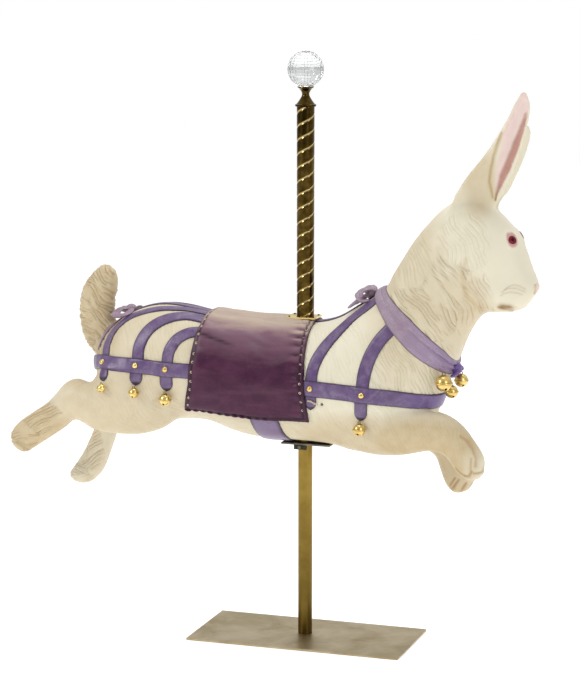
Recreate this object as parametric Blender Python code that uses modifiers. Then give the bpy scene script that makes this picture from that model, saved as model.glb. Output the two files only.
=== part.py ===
"""A carousel rabbit in full leap, with its harness, pole and display stand.

The frame is metres with +Z up, +X towards the rabbit's head and +Y to its left.
The origin is on the pole's axis, on the underside of the base plate.
"""
import math

import bmesh
import bpy
import numpy as np
from mathutils import Matrix, Vector
from mathutils.bvhtree import BVHTree

# The figure. Its form is drawn in centimetres on a rabbit 145 cm long, whose belly at the
# pole is 54 cm above the floor, so every station below scales with FIGURE_LENGTH.
FIGURE_LENGTH = 1.45
BELLY_HEIGHT = 0.54
CARVING_DEPTH = 0.0024
EYE_DIAMETER = 0.028
EYE_BULGE = 0.004

# Harness, pad and ribbon
STRAP_THICKNESS = 0.0035
PAD_THICKNESS = 0.009
RIBBON_THICKNESS = 0.005
STUD_DIAMETER = 0.016
STUD_HEIGHT = 0.006

# The stand
PLATE_LENGTH = 0.590
PLATE_WIDTH = 0.285
PLATE_THICKNESS = 0.006
PLATE_FORWARD = 0.008
PLATE_NEARWARD = 0.008
PLATE_EDGE = 0.0012
PIPE_DIAMETER = 0.038
PIPE_WALL = 0.0036
SLEEVE_DIAMETER = 0.0465
SLEEVE_LENGTH = 0.552
TWIST_LEAD = 0.073
TWIST_STARTS = 2
GROOVE_WIDTH = 0.0075
GROOVE_DEPTH = 0.0020
SEAT_PLATE_LENGTH = 0.080
SEAT_PLATE_WIDTH = 0.062
SEAT_PLATE_THICKNESS = 0.004
SEAT_PLATE_LET_IN = 0.002
SEAT_PLATE_FORWARD = -0.004
SCREW_DIAMETER = 0.007
BELLY_PLATE_LENGTH = 0.135
BELLY_PLATE_WIDTH = 0.076
BELLY_PLATE_THICKNESS = 0.004
BELLY_PLATE_FORWARD = 0.012
PACKING_LENGTH = 0.046
PACKING_WIDTH = 0.050
PACKING_START = 0.020
CLAMP_START = -0.024
CLAMP_LENGTH = 0.034
CLAMP_DEPTH = 0.012
CLAMP_HEIGHT = 0.015
CLAMP_BOLT_DIAMETER = 0.010
TIE_DIAMETER = 0.005
TACK_DIAMETER = 0.007
FLANGE_DIAMETER = 0.055
FINIAL_HEIGHT = 0.053
BALL_DIAMETER = 0.095
BORE_CLEARANCE = 0.0008

# Clearances, and how far one laid band is lifted over or tucked into another
GAP = 0.0003
LAID_GAP = 0.00045
BAND_LIFT = 0.001
BOW_SEAT = 0.0006
SEAT_LIFT = 0.0012
SEAT_DEPTH = 0.012
ROOM_MARGIN = 0.0008
TUCK = 0.0012
SETTLING_ROUNDS = 60
SETTLING_STEP = 0.0002
HANGING_STEP = 0.0005
PAST = 0.01
FAR_OUT = 0.4

# How many stations each laid strap is worked out at
RIBBON_STEPS = 24
BREAST_STEPS = 20
RUMP_STEPS = 22
SHOULDER_STEPS = 8
NECK_STEPS = 6
CROUP_STEPS = 7
TAB_STEPS = 4
WITHERS_STEPS = 7
SPINE_STEPS = 4
CRUPPER_STEPS = 9
GIRTH_STEPS = 12

# How finely the solids are faceted
PIPE_SIDES = 20
TWIST_RINGS = 9
FINIAL_SIDES = 12
BALL_SEGMENTS = 14
BALL_RINGS = 9
STUD_SIDES = 6
SMALL_BELL_SIDES = 7
THROAT_BELL_SIDES = 10
VOXEL = 0.0052
FIGURE_TRIANGLES = 2300
BOW_VOXEL = 0.0035
BOW_TRIANGLES = 120
FLAT_ANGLE = math.radians(0.05)
SHARP_ANGLE = math.radians(35)
MERGE = 0.00001

CUTTERS = "Cutters"
FIGURE = "Carousel rabbit"
DRAWN_LENGTH = 145.0
DRAWN_BELLY = 54.0
CM = FIGURE_LENGTH / DRAWN_LENGTH

EAR_ROOT = 121.0
EAR_SOFTENING = 0.25
SOFTENING = 0.5
SOFTENING_ROUNDS = 24
CAP_ANGLES = [math.radians(turn) for turn in (80, 60, 40, 20)]
DOWN = Vector((0.0, 0.0, -1.0))


def at(x, y, z):
    """A point of the drawing, in centimetres, as a place in the model."""
    return np.array((x * CM, y * CM, BELLY_HEIGHT + (z - DRAWN_BELLY) * CM))


def clear_scene():
    for thing in list(bpy.data.objects):
        bpy.data.objects.remove(thing, do_unlink=True)


def smooth_path(rows, count):
    """Rows of numbers resampled on a Catmull-Rom curve through them."""
    rows = np.array(rows, float)
    step = np.linalg.norm(np.diff(rows[:, :6], axis=0), axis=1)
    along = np.concatenate(([0.0], np.cumsum(step)))
    slope = np.gradient(rows, along, axis=0)
    want = np.linspace(0.0, along[-1], count)
    seg = np.clip(np.searchsorted(along, want, side="right") - 1, 0, len(rows) - 2)
    width = (along[seg + 1] - along[seg])[:, None]
    t = ((want - along[seg])[:, None]) / width
    a, b = rows[seg], rows[seg + 1]
    ma, mb = slope[seg] * width, slope[seg + 1] * width
    return ((2 * t**3 - 3 * t**2 + 1) * a + (t**3 - 2 * t**2 + t) * ma
            + (-2 * t**3 + 3 * t**2) * b + (t**3 - t**2) * mb)


def add_tube(bm, stations, rings=24, sides=28, power=2.0, start_cap=1.0, end_cap=1.0):
    """A closed tube through stations (ax, az, bx, bz, y, half_width), all in drawing cm.

    A and B are the two outline points of a section as seen from the side.
    """
    rows = smooth_path(stations, rings)
    mid = np.stack([(rows[:, 0] + rows[:, 2]) / 2, rows[:, 4], (rows[:, 1] + rows[:, 3]) / 2], 1)
    up = np.stack([(rows[:, 0] - rows[:, 2]) / 2, 0 * rows[:, 0], (rows[:, 1] - rows[:, 3]) / 2], 1)
    side = np.stack([0 * rows[:, 0], rows[:, 5], 0 * rows[:, 0]], 1)
    sections = []
    for end, cap in ((0, start_cap), (-1, end_cap)):
        inward = mid[1] - mid[0] if end == 0 else mid[-2] - mid[-1]
        outward = -inward / np.linalg.norm(inward)
        for angle in CAP_ANGLES:
            sections.append((mid[end] + outward * cap * math.sin(angle),
                             up[end] * math.cos(angle), side[end] * math.cos(angle)))
    body = [(mid[i], up[i], side[i]) for i in range(rings)]
    caps = len(CAP_ANGLES)
    sections = sections[:caps] + body + sections[caps:][::-1]
    angles = np.arange(sides) * 2 * math.pi / sides
    cos = np.sign(np.cos(angles)) * np.abs(np.cos(angles)) ** (2 / power)
    sin = np.sign(np.sin(angles)) * np.abs(np.sin(angles)) ** (2 / power)
    loops = []
    for centre, u, v in sections:
        ring = [bm.verts.new(at(*(centre + u * c + v * s))) for c, s in zip(cos, sin)]
        loops.append(ring)
    for first, second in zip(loops, loops[1:]):
        for i in range(sides):
            j = (i + 1) % sides
            bm.faces.new((first[i], first[j], second[j], second[i]))
    bm.faces.new(loops[0][::-1])
    bm.faces.new(loops[-1])


def add_ball(bm, centre, radii):
    """An ellipsoid of the drawing, centre and half axes in cm."""
    place = Matrix.Translation(Vector(at(*centre)))
    grow = Matrix.Diagonal((radii[0] * CM, radii[1] * CM, radii[2] * CM, 1.0))
    bmesh.ops.create_uvsphere(bm, u_segments=24, v_segments=14, radius=1.0, matrix=place @ grow)


TRUNK = [
    (-57.2, 76.5, -57.6, 68.0, 0, 6.0),
    (-55.4, 81.0, -56.2, 62.0, 0, 8.6),
    (-51.6, 84.2, -52.6, 58.0, 0, 10.8),
    (-46.5, 87.0, -46.5, 56.5, 0, 12.6),
    (-40.0, 88.6, -40.0, 56.8, 0, 13.4),
    (-33.0, 88.2, -33.0, 57.8, 0, 13.6),
    (-26.0, 86.9, -26.0, 57.8, 0, 13.4),
    (-18.0, 86.2, -18.0, 55.2, 0, 13.2),
    (-10.0, 85.8, -10.0, 54.0, 0, 13.2),
    (0.0, 85.8, 0.0, 54.0, 0, 13.2),
    (6.0, 86.4, 8.0, 53.6, 0, 13.0),
    (11.0, 88.2, 16.0, 51.9, 0, 12.8),
    (14.5, 90.5, 22.0, 52.2, 0, 12.2),
    (19.0, 93.5, 30.0, 54.5, 0, 11.4),
    (22.7, 96.4, 35.6, 62.0, 0, 10.4),
    (24.5, 100.0, 39.3, 71.5, 0, 9.6),
    (26.8, 103.8, 42.2, 78.5, 0, 9.0),
    (29.8, 108.6, 44.3, 84.0, 0, 8.6),
    (33.5, 113.2, 46.8, 88.4, 0, 8.3),
    (37.8, 117.6, 49.0, 90.6, 0, 8.1),
    (42.4, 120.0, 51.0, 91.0, 0, 8.0),
    (47.4, 119.6, 52.5, 91.0, 0, 7.8),
    (52.0, 117.0, 54.5, 91.0, 0, 7.3),
    (56.1, 113.0, 56.5, 91.3, 0, 6.5),
    (58.7, 109.0, 58.5, 91.8, 0, 5.3),
    (60.8, 103.3, 60.0, 93.0, 0, 4.2),
    (62.2, 100.4, 61.2, 94.8, 0, 3.1),
    (62.9, 98.8, 62.6, 96.6, 0, 1.6),
]
HIND_NEAR = [
    (-33.0, 74.0, -33.0, 59.0, -7.0, 4.0),
    (-38.0, 79.0, -38.0, 55.6, -7.4, 5.8),
    (-44.0, 80.0, -44.0, 53.8, -7.6, 6.6),
    (-50.0, 77.0, -50.0, 53.6, -8.0, 6.4),
    (-54.6, 72.0, -54.4, 54.0, -8.6, 5.8),
    (-58.0, 67.4, -57.0, 54.7, -9.0, 5.0),
    (-61.5, 68.6, -59.7, 56.2, -9.0, 4.4),
    (-65.3, 67.2, -62.4, 57.1, -9.0, 4.1),
    (-68.0, 64.0, -63.8, 56.0, -9.0, 3.9),
    (-70.2, 61.8, -64.8, 55.0, -9.0, 3.8),
    (-74.7, 58.6, -69.2, 51.9, -9.0, 3.8),
    (-79.2, 55.4, -73.7, 48.9, -9.0, 3.7),
    (-81.2, 53.2, -76.2, 47.1, -9.0, 3.1),
]
HIND_FAR = [
    (-33.0, 74.0, -33.0, 59.0, 7.0, 4.0),
    (-38.0, 79.0, -38.0, 55.8, 7.4, 6.0),
    (-44.0, 79.0, -44.0, 54.0, 8.0, 7.0),
    (-50.0, 75.0, -49.0, 53.6, 8.4, 6.6),
    (-55.5, 68.0, -53.0, 53.0, 9.0, 5.4),
    (-60.0, 60.5, -56.0, 52.5, 9.0, 4.4),
    (-62.8, 55.0, -57.6, 50.5, 9.0, 3.9),
    (-64.8, 50.4, -58.7, 47.2, 9.0, 3.6),
    (-67.0, 45.7, -60.2, 43.2, 9.0, 3.6),
    (-69.8, 41.2, -62.4, 38.4, 9.0, 3.6),
    (-72.0, 38.4, -64.9, 35.9, 9.0, 3.2),
]
FORE_NEAR = [
    (12.0, 70.0, 14.0, 54.0, -6.0, 4.5),
    (20.0, 68.0, 20.0, 52.8, -7.0, 5.8),
    (28.0, 66.0, 28.0, 53.0, -7.5, 5.6),
    (34.0, 65.4, 33.5, 54.2, -8.0, 5.0),
    (37.7, 65.3, 36.5, 55.0, -8.0, 4.6),
    (41.0, 64.8, 38.8, 54.8, -8.0, 4.3),
    (43.8, 63.4, 40.6, 54.0, -8.0, 4.1),
    (46.2, 61.3, 41.6, 53.0, -8.0, 4.0),
    (48.3, 58.7, 42.3, 52.0, -8.0, 4.0),
    (50.2, 56.0, 43.0, 50.6, -8.0, 3.9),
    (51.5, 53.0, 44.4, 49.4, -8.0, 3.7),
    (51.4, 50.8, 46.0, 48.3, -8.0, 3.0),
]
FORE_FAR = [
    (12.0, 70.0, 14.0, 53.0, 6.0, 4.5),
    (20.0, 66.0, 20.0, 51.2, 7.0, 5.8),
    (27.0, 63.5, 26.0, 51.0, 7.5, 5.4),
    (33.0, 62.5, 31.0, 51.6, 8.0, 4.9),
    (38.0, 61.0, 33.4, 50.6, 8.0, 4.4),
    (42.0, 58.0, 34.4, 49.0, 8.0, 4.1),
    (44.3, 54.0, 34.9, 47.2, 8.0, 4.0),
    (45.2, 50.0, 35.7, 45.0, 8.0, 3.9),
    (45.3, 46.5, 36.6, 42.6, 8.0, 3.7),
    (44.6, 43.4, 38.0, 41.0, 8.0, 3.0),
]
TAIL = [
    (-60.0, 73.5, -53.0, 80.0, 0, 3.2),
    (-62.7, 77.0, -54.2, 83.0, 0, 3.6),
    (-64.0, 81.1, -54.4, 85.0, 0, 4.0),
    (-64.3, 85.9, -54.3, 88.5, 0, 4.2),
    (-63.9, 90.1, -53.5, 92.1, 0, 4.2),
    (-62.6, 93.4, -53.3, 94.8, 0, 3.8),
    (-61.0, 95.6, -54.0, 96.9, 0, 3.1),
    (-59.2, 97.4, -55.4, 98.2, 0, 2.2),
]
# Ear: centre (x, y, z), half chord between the rims, depth of the cup
EAR = [
    (42.4, 2.4, 110.5, 6.2, 3.4),
    (44.8, 2.9, 116.5, 5.9, 3.6),
    (48.4, 3.4, 123.2, 5.6, 3.4),
    (52.2, 3.8, 129.2, 4.7, 3.0),
    (55.5, 4.2, 135.8, 3.7, 2.7),
    (57.7, 4.6, 141.2, 2.8, 2.3),
    (58.9, 4.8, 145.2, 2.1, 1.9),
    (59.2, 4.9, 148.3, 1.2, 1.3),
]
EAR_TURN = math.radians(24)
EAR_WALL = 1.1
EAR_RIM = 0.8


def add_ear(bm, side, length=1.0, splay=0.0, lean=0.0, rings=22, sides=20):
    """A long cupped ear. side is -1 for the near one; splay and lean tilt it outwards and forwards."""
    rows = np.array(EAR, float)
    root = rows[0, :3].copy()
    rows[:, :3] = root + (rows[:, :3] - root) * length
    rows[:, 0] += lean * (rows[:, 2] - root[2])
    rows[:, 1] += splay * (rows[:, 2] - root[2])
    rows[:, 3] *= length
    padded = np.concatenate([rows, np.zeros((len(rows), 1))], 1)
    rows = smooth_path(padded, rings)
    centre = rows[:, :3] * np.array((1, side, 1))
    axis = np.gradient(centre, axis=0)
    axis /= np.linalg.norm(axis, axis=1)[:, None]
    loops = []
    for c, t, chord, depth in zip(centre, axis, rows[:, 3], rows[:, 4]):
        forward = np.cross((0, side, 0), t) * side
        forward /= np.linalg.norm(forward)
        outward = np.cross(t, forward)
        outward *= side * np.sign(outward[1])
        opening = outward * math.cos(EAR_TURN) + forward * math.sin(EAR_TURN)
        rim = forward * math.cos(EAR_TURN) - outward * math.sin(EAR_TURN)
        scoop = max(depth - EAR_WALL, 0.15)
        ring = []
        for i in range(sides):
            angle = 2 * math.pi * i / sides
            bulge = math.sin(angle)
            reach = chord if bulge <= 0 else chord - EAR_RIM * min(1.0, 4 * bulge)
            across = reach * math.cos(angle)
            along = -depth * abs(bulge) if bulge < 0 else -scoop * bulge
            point = c + rim * across + opening * (along + depth * 0.5)
            ring.append(bm.verts.new(at(*point)))
        loops.append(ring)
    for first, second in zip(loops, loops[1:]):
        for i in range(sides):
            j = (i + 1) % sides
            bm.faces.new((first[i], first[j], second[j], second[i]))
    bm.faces.new(loops[0][::-1])
    bm.faces.new(loops[-1])


def rough_figure():
    bm = bmesh.new()
    add_tube(bm, TRUNK, rings=70, sides=40, power=2.25, start_cap=2.0, end_cap=0.6)
    add_tube(bm, HIND_NEAR, rings=34, end_cap=2.6)
    add_tube(bm, HIND_FAR, rings=34, end_cap=2.6)
    add_tube(bm, FORE_NEAR, rings=30, end_cap=1.6)
    add_tube(bm, FORE_FAR, rings=30, end_cap=1.6)
    add_tube(bm, TAIL, rings=26, end_cap=0.9)
    add_ear(bm, -1)
    add_ear(bm, 1, length=0.757, splay=0.08, lean=0.085)
    for side in (-1, 1):
        add_ball(bm, (20.0, side * 6.9, 67.0), (9.5, 6.4, 12.5))
        add_ball(bm, (52.6, side * 3.6, 97.2), (6.4, 4.2, 5.8))
        add_ball(bm, (54.8, side * 3.5, 109.3), (3.4, 2.4, 3.2))
    for face in bm.faces:
        face.smooth = True
    bmesh.ops.recalc_face_normals(bm, faces=bm.faces)
    mesh = bpy.data.meshes.new("rough_figure")
    bm.to_mesh(mesh)
    bm.free()
    return mesh


def relaxed(mesh, rounds):
    """Joins between limbs and trunk melted by averaging each point with its neighbours."""
    count = len(mesh.vertices)
    places = np.empty(count * 3)
    mesh.vertices.foreach_get("co", places)
    places = places.reshape(-1, 3)
    edges = np.empty(len(mesh.edges) * 2, dtype=np.int64)
    mesh.edges.foreach_get("vertices", edges)
    a, b = edges.reshape(-1, 2).T
    number = np.bincount(a, minlength=count) + np.bincount(b, minlength=count)
    height = (places[:, 2] - BELLY_HEIGHT) / CM + DRAWN_BELLY
    weight = np.where(height > EAR_ROOT, EAR_SOFTENING, 1.0)[:, None]
    for _ in range(rounds):
        total = np.stack([np.bincount(a, places[b, k], count) + np.bincount(b, places[a, k], count)
                          for k in range(3)], axis=1)
        places += SOFTENING * weight * (total / number[:, None] - places)
    mesh.vertices.foreach_set("co", places.reshape(-1))
    mesh.update()


def read_points(mesh):
    places = np.empty(len(mesh.vertices) * 3)
    mesh.vertices.foreach_get("co", places)
    return places.reshape(-1, 3)


def point_normals(mesh):
    normals = np.empty(len(mesh.vertices) * 3)
    mesh.vertices.foreach_get("normal", normals)
    return normals.reshape(-1, 3)


def bump(x, z, centre, radii):
    """1 inside an ellipse of the drawing's side view, fading to 0 past its edge."""
    far = ((x - centre[0]) / radii[0]) ** 2 + ((z - centre[1]) / radii[1]) ** 2
    return np.clip(1.6 - 1.2 * far, 0, 1)


def waves(x, z, heading, pitch, sway, sway_pitch):
    """Wavy parallel locks: heading is the locks' direction in degrees in the side view."""
    angle = math.radians(heading)
    along = x * math.cos(angle) + z * math.sin(angle)
    across = -x * math.sin(angle) + z * math.cos(angle)
    phase = across + sway * np.sin(2 * math.pi * along / sway_pitch)
    return np.sin(2 * math.pi * phase / pitch)


# Carved fur: centre and radii of the patch, heading, pitch, sway, sway pitch, depth share
FUR = [
    ((37.5, 103.0), (10.0, 11.0), -52.0, 3.6, 0.7, 13.0, 1.0),
    ((33.0, 90.0), (10.0, 8.0), -62.0, 3.6, 0.7, 13.0, 0.9),
    ((33.0, 74.0), (6.0, 6.0), -66.0, 3.4, 0.5, 12.0, 0.6),
    ((-47.0, 60.0), (11.0, 5.0), -60.0, 3.6, 0.5, 12.0, 0.5),
    ((-74.0, 55.0), (10.0, 9.0), -14.0, 3.0, 0.0, 9.0, 0.8),
    ((-67.0, 43.0), (7.0, 9.0), 20.0, 3.0, 0.0, 9.0, 0.8),
    ((-59.0, 87.0), (6.0, 12.0), -40.0, 2.9, 0.3, 9.0, 1.0),
]
PAW_GROOVES = [
    ((49.0, 47.8), (46.2, 53.2), -8.0),
    ((46.6, 47.2), (44.8, 52.0), -8.0),
    ((41.8, 39.6), (40.9, 44.6), 8.0),
]
PAW_DEPTH = 1.3
PAW_REACH = 6.0
GROOVE_RADIUS = 0.75
MOUTH = ((52.8, 92.9), (57.4, 92.0), (59.6, 93.4))
MOUTH_RADIUS = 0.55
MOUTH_DEPTH = 1.6


def distance_to_segment(x, z, start, end):
    dx, dz = end[0] - start[0], end[1] - start[1]
    share = np.clip(((x - start[0]) * dx + (z - start[1]) * dz) / (dx * dx + dz * dz), 0, 1)
    return np.hypot(x - start[0] - share * dx, z - start[1] - share * dz)


def carving(places, normals):
    """How far each point moves along its normal, in metres, for the carved fur and paws."""
    x = places[:, 0] / CM
    y = places[:, 1] / CM
    z = (places[:, 2] - BELLY_HEIGHT) / CM + DRAWN_BELLY
    height = np.zeros(len(places))
    for centre, radii, heading, pitch, sway, sway_pitch, share in FUR:
        patch = bump(x, z, centre, radii)
        height += share * patch * waves(x, z, heading, pitch, sway, sway_pitch)
    height *= CARVING_DEPTH * np.clip(np.abs(normals[:, 1]) * 1.5, 0, 1)
    for start, end, side in PAW_GROOVES:
        away = distance_to_segment(x, z, start, end)
        height -= (CARVING_DEPTH * PAW_DEPTH * np.exp(-(away / GROOVE_RADIUS) ** 2)
                   * (np.abs(y - side) < PAW_REACH))
    for start, end in zip(MOUTH, MOUTH[1:]):
        away = distance_to_segment(x, z, start, end)
        height -= CARVING_DEPTH * MOUTH_DEPTH * np.exp(-(away / MOUTH_RADIUS) ** 2)
    return height


def as_mesh(name, bm):
    bmesh.ops.recalc_face_normals(bm, faces=bm.faces)
    mesh = bpy.data.meshes.new(name)
    bm.to_mesh(mesh)
    bm.free()
    return mesh


def evaluated(obj):
    graph = bpy.context.evaluated_depsgraph_get()
    return bpy.data.meshes.new_from_object(obj.evaluated_get(graph))


def figure_skin():
    """The carved figure, twice: as fine as it is modelled, and in a few thousand faces."""
    obj = bpy.data.objects.new("figure_skin", rough_figure())
    bpy.context.scene.collection.objects.link(obj)
    remesh = obj.modifiers.new("One skin", "REMESH")
    remesh.mode = "VOXEL"
    remesh.voxel_size = VOXEL
    fine = evaluated(obj)
    obj.modifiers.clear()
    relaxed(fine, SOFTENING_ROUNDS)
    plain = fine.copy()
    places = read_points(fine)
    normals = point_normals(fine)
    carved = places + normals * carving(places, normals)[:, None]
    fine.vertices.foreach_set("co", carved.reshape(-1))
    fine.update()
    obj.data = fine
    faces = sum(len(face.vertices) - 2 for face in fine.polygons)
    thin = obj.modifiers.new("Facets", "DECIMATE")
    thin.ratio = FIGURE_TRIANGLES / faces
    thin.use_collapse_triangulate = True
    skin = evaluated(obj)
    bpy.data.objects.remove(obj)
    return plain, skin


def drop(*objects):
    for obj in objects:
        bpy.data.objects.remove(obj, do_unlink=True)


def loose(name, mesh):
    """An object in the cutters' collection, for work that doesn't stay in the model."""
    obj = bpy.data.objects.new(name, mesh)
    obj.hide_render = True
    obj.display_type = "WIRE"
    bpy.data.collections[CUTTERS].objects.link(obj)
    return obj


def cut(base, other, operation="DIFFERENCE"):
    """The base after one exact Boolean with the other solid, which is then removed."""
    step = base.modifiers.new(operation.title(), "BOOLEAN")
    step.operation = operation
    step.solver = "EXACT"
    step.object = other
    mesh = evaluated(base)
    base.modifiers.remove(step)
    base.data = mesh
    drop(other)
    return base


def raised(skin, distance):
    places = read_points(skin) + point_normals(skin) * distance
    mesh = skin.copy()
    mesh.vertices.foreach_set("co", places.reshape(-1))
    mesh.update()
    return mesh


def tree_of(mesh):
    return BVHTree.FromPolygons([Vector(p) for p in read_points(mesh)],
                                [tuple(face.vertices) for face in mesh.polygons])


def band_frames(tree, route, steps):
    """Points on the skin along a strap: place, normal, side and half width, in metres."""
    rows = np.array(route, float)
    if rows.shape[1] == 3:
        rows = np.concatenate([rows, np.zeros((len(rows), 1))], axis=1)
    places = np.array([at(*row[:3]) for row in rows])
    table = np.concatenate([places, rows[:, 3:4] * CM, np.zeros((len(rows), 2))], axis=1)
    table = smooth_path(table, steps)
    snapped, normals = [], []
    for row in table:
        spot, normal, _, _ = tree.find_nearest(Vector(row[:3]))
        snapped.append(np.array(spot))
        normals.append(np.array(normal))
    snapped = np.array(snapped)
    ahead = np.gradient(snapped, axis=0)
    return snapped, np.array(normals), ahead, table[:, 3]


def settled(points, ways, cells, rim, thickness, skin_tree):
    """Heights that lift a laid sheet just clear of the faceted skin below and beside it."""
    count = len(points)
    height = np.full(count, LAID_GAP)
    walls = [(a, b, b + count) for a, b in rim] + [(a, b + count, a + count) for a, b in rim]
    faces = cells + walls
    for _ in range(SETTLING_ROUNDS):
        under = points + ways * (height - GAP)[:, None]
        tested = np.concatenate([under, under + ways * (thickness + GAP)])
        sheet_tree = BVHTree.FromPolygons([Vector(p) for p in tested], faces)
        touching = {face for face, _ in sheet_tree.overlap(skin_tree)}
        for cell, corners in enumerate(cells):
            middle = Vector(tested[list(corners)].mean(axis=0))
            near, out, _, _ = skin_tree.find_nearest(middle)
            if (middle - near).dot(out) < 0:
                touching.add(cell)
        if not touching:
            break
        raise_these = sorted({corner % count for face in touching for corner in faces[face]})
        height[raise_these] += SETTLING_STEP
    return height


def laid_sheet(grid, ways, closed, thickness, skin_tree, tucked=False, seat=False):
    """A closed sheet over a grid of skin points: rows along it, columns across it.

    A tucked sheet's first row is thinner and lies inside the band that its end is joined to.
    A seat is the room that the sheet takes: it reaches into the skin and a gap above the sheet.
    """
    rows, columns = len(grid), len(grid[0])
    points = np.array([spot for line in grid for spot in line])
    ways = np.array([way for line in ways for way in line])
    last = rows if closed else rows - 1
    cells = []
    for i in range(last):
        for j in range(columns - 1):
            a, b = i * columns + j, i * columns + j + 1
            c, d = (i + 1) % rows * columns + j + 1, (i + 1) % rows * columns + j
            cells += [(a, b, c), (a, c, d)]
    rim = []
    for i in range(last):
        rim += [(i * columns, (i + 1) % rows * columns),
                ((i + 1) % rows * columns + columns - 1, i * columns + columns - 1)]
    if not closed:
        for j in range(columns - 1):
            rim += [(j + 1, j), ((rows - 1) * columns + j, (rows - 1) * columns + j + 1)]
    height = settled(points, ways, cells, rim, thickness, skin_tree)
    upper = height + thickness
    if tucked:
        height[:columns] += TUCK
        upper[:columns] -= TUCK / 3
    if seat:
        height[:] = -SEAT_DEPTH
        upper += SEAT_LIFT
    bm = bmesh.new()
    under = [bm.verts.new(p) for p in points + ways * height[:, None]]
    top = [bm.verts.new(p) for p in points + ways * upper[:, None]]
    for a, b, c in cells:
        bm.faces.new((top[a], top[b], top[c]))
        bm.faces.new((under[c], under[b], under[a]))
    for a, b in rim:
        bm.faces.new((top[a], top[b], under[b]))
        bm.faces.new((top[a], under[b], under[a]))
    return bm


def strip(trees, route, width, thickness, steps, across=2, grow=0.0, **how):
    """A strap laid on the skin along a route: a closed band with its own thickness."""
    tree, skin_tree = trees
    closed = how.get("closed", False)
    pointed = how.get("pointed", False)
    places, normals, ahead, widths = band_frames(tree, route, steps + 1 if closed else steps)
    grid, ways = [], []
    for i in range(steps):
        place, normal = places[i], normals[i]
        side = np.cross(normal, ahead[i])
        side /= np.linalg.norm(side)
        half = (widths[i] if widths[i] > 0 else width) / 2 + grow
        if pointed:
            left = (steps - 1 - i) * np.linalg.norm(ahead[-1]) / (0.7 * width)
            half *= math.sqrt(max(1 - (1 - min(left, 1.0)) ** 2, 0.03))
        line, line_ways = [], []
        for share in np.linspace(-1, 1, across):
            spot, out, _, _ = tree.find_nearest(Vector(place + side * half * share))
            out = (np.array(out) + normal) / 2
            line.append(np.array(spot))
            line_ways.append(out / np.linalg.norm(out))
        grid.append(line)
        ways.append(line_ways)
    return laid_sheet(grid, ways, closed, thickness, skin_tree, how.get("tucked", False),
                      how.get("seat", False))


def fused(name, bms):
    """Several closed bands as one solid."""
    whole = loose(name, as_mesh(name, bms[0]))
    for index, bm in enumerate(bms[1:]):
        cut(whole, loose("%s_%d" % (name, index), as_mesh(name, bm)), "UNION")
    return whole


def tidied(obj):
    """Flat faces that the joins split are made whole again."""
    bm = bmesh.new()
    bm.from_mesh(obj.data)
    bmesh.ops.dissolve_limit(bm, angle_limit=FLAT_ANGLE, verts=bm.verts, edges=bm.edges)
    bmesh.ops.triangulate(bm, faces=bm.faces)
    bm.to_mesh(obj.data)
    bm.free()


def both_sides(route):
    far = [(row[0], -row[1]) + tuple(row[2:]) for row in route]
    return (route, far)


def around(route):
    """A route from the near flank over or round the figure's middle to the far flank."""
    return list(route) + [(row[0], -row[1]) + tuple(row[2:]) for row in route[-2::-1]]


# Strap routes on the near side, in drawing cm; widths in metres unless a route carries its own
BREAST_BAND = [(2.0, -13.0, 70.5), (8.0, -12.9, 70.2), (14.0, -12.7, 69.8), (21.0, -12.4, 69.3),
               (28.0, -10.8, 68.6), (34.0, -8.2, 67.7), (37.2, -4.6, 67.2), (38.4, 0.0, 67.0)]
BREAST_BAND_WIDTH = 0.042
SHOULDER_STRAP = [(5.6, -12.9, 70.4), (6.3, -12.2, 76.0), (8.0, -11.0, 80.0), (11.4, -8.5, 84.8),
                  (15.6, -5.8, 88.8), (19.6, -4.6, 91.6), (22.6, -4.0, 94.6)]
SHOULDER_STRAP_WIDTH = 0.031
SHOULDER_TAB = [(5.6, -12.9, 70.4), (5.6, -13.0, 67.5), (5.6, -12.9, 64.6)]
NECK_STRAP = [(19.5, -12.6, 69.5), (20.0, -11.8, 75.4), (21.4, -11.0, 79.8), (24.0, -10.1, 84.2),
              (27.0, -9.5, 87.4), (29.5, -8.8, 89.8)]
NECK_STRAP_WIDTH = 0.035
NECK_TAB = [(19.4, -12.6, 69.5), (19.3, -13.0, 66.0), (19.2, -12.8, 62.6)]
WITHERS_STRAP = [(1.0, 0.0, 86.0), (7.0, 0.0, 87.0), (13.0, 0.0, 89.6), (19.0, 0.0, 93.5),
                 (22.0, 0.0, 96.0)]
RUMP_BAND = [(-25.0, -13.4, 73.0), (-31.0, -13.5, 73.1), (-37.0, -13.5, 73.3), (-44.0, -13.9, 73.8),
             (-50.0, -12.6, 73.8), (-54.4, -9.6, 73.4), (-57.4, -5.0, 72.4), (-58.6, 0.0, 71.6)]
RUMP_BAND_WIDTH = 0.040
CROUP_STRAPS = [
    ([(-52.8, -10.2, 73.5), (-52.8, -8.6, 78.6), (-51.4, -6.9, 82.0), (-47.8, -5.6, 85.0),
      (-42.0, -5.2, 87.4), (-36.0, -4.2, 88.2), (-31.0, -2.9, 88.0), (-24.0, -2.4, 86.8)], 0.027),
    ([(-42.6, -13.6, 73.5), (-42.2, -12.2, 79.3), (-40.2, -10.7, 83.1), (-36.2, -8.6, 85.9),
      (-31.0, -6.6, 87.0), (-24.0, -6.2, 86.4)], 0.035),
    ([(-34.2, -13.5, 73.5), (-33.4, -12.9, 78.6), (-31.6, -11.8, 81.3), (-29.0, -10.6, 82.8),
      (-24.0, -10.0, 83.8)], 0.032),
]
CROUP_TABS = [
    ([(-52.7, -11.2, 73.6), (-52.5, -12.6, 71.6), (-52.3, -13.8, 69.0)], 0.029),
    ([(-42.8, -13.8, 73.6), (-42.8, -14.2, 71.4), (-42.8, -14.4, 68.4)], 0.035),
    ([(-34.4, -13.5, 73.3), (-34.4, -13.4, 70.6), (-34.4, -13.0, 67.2)], 0.036),
]
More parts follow.
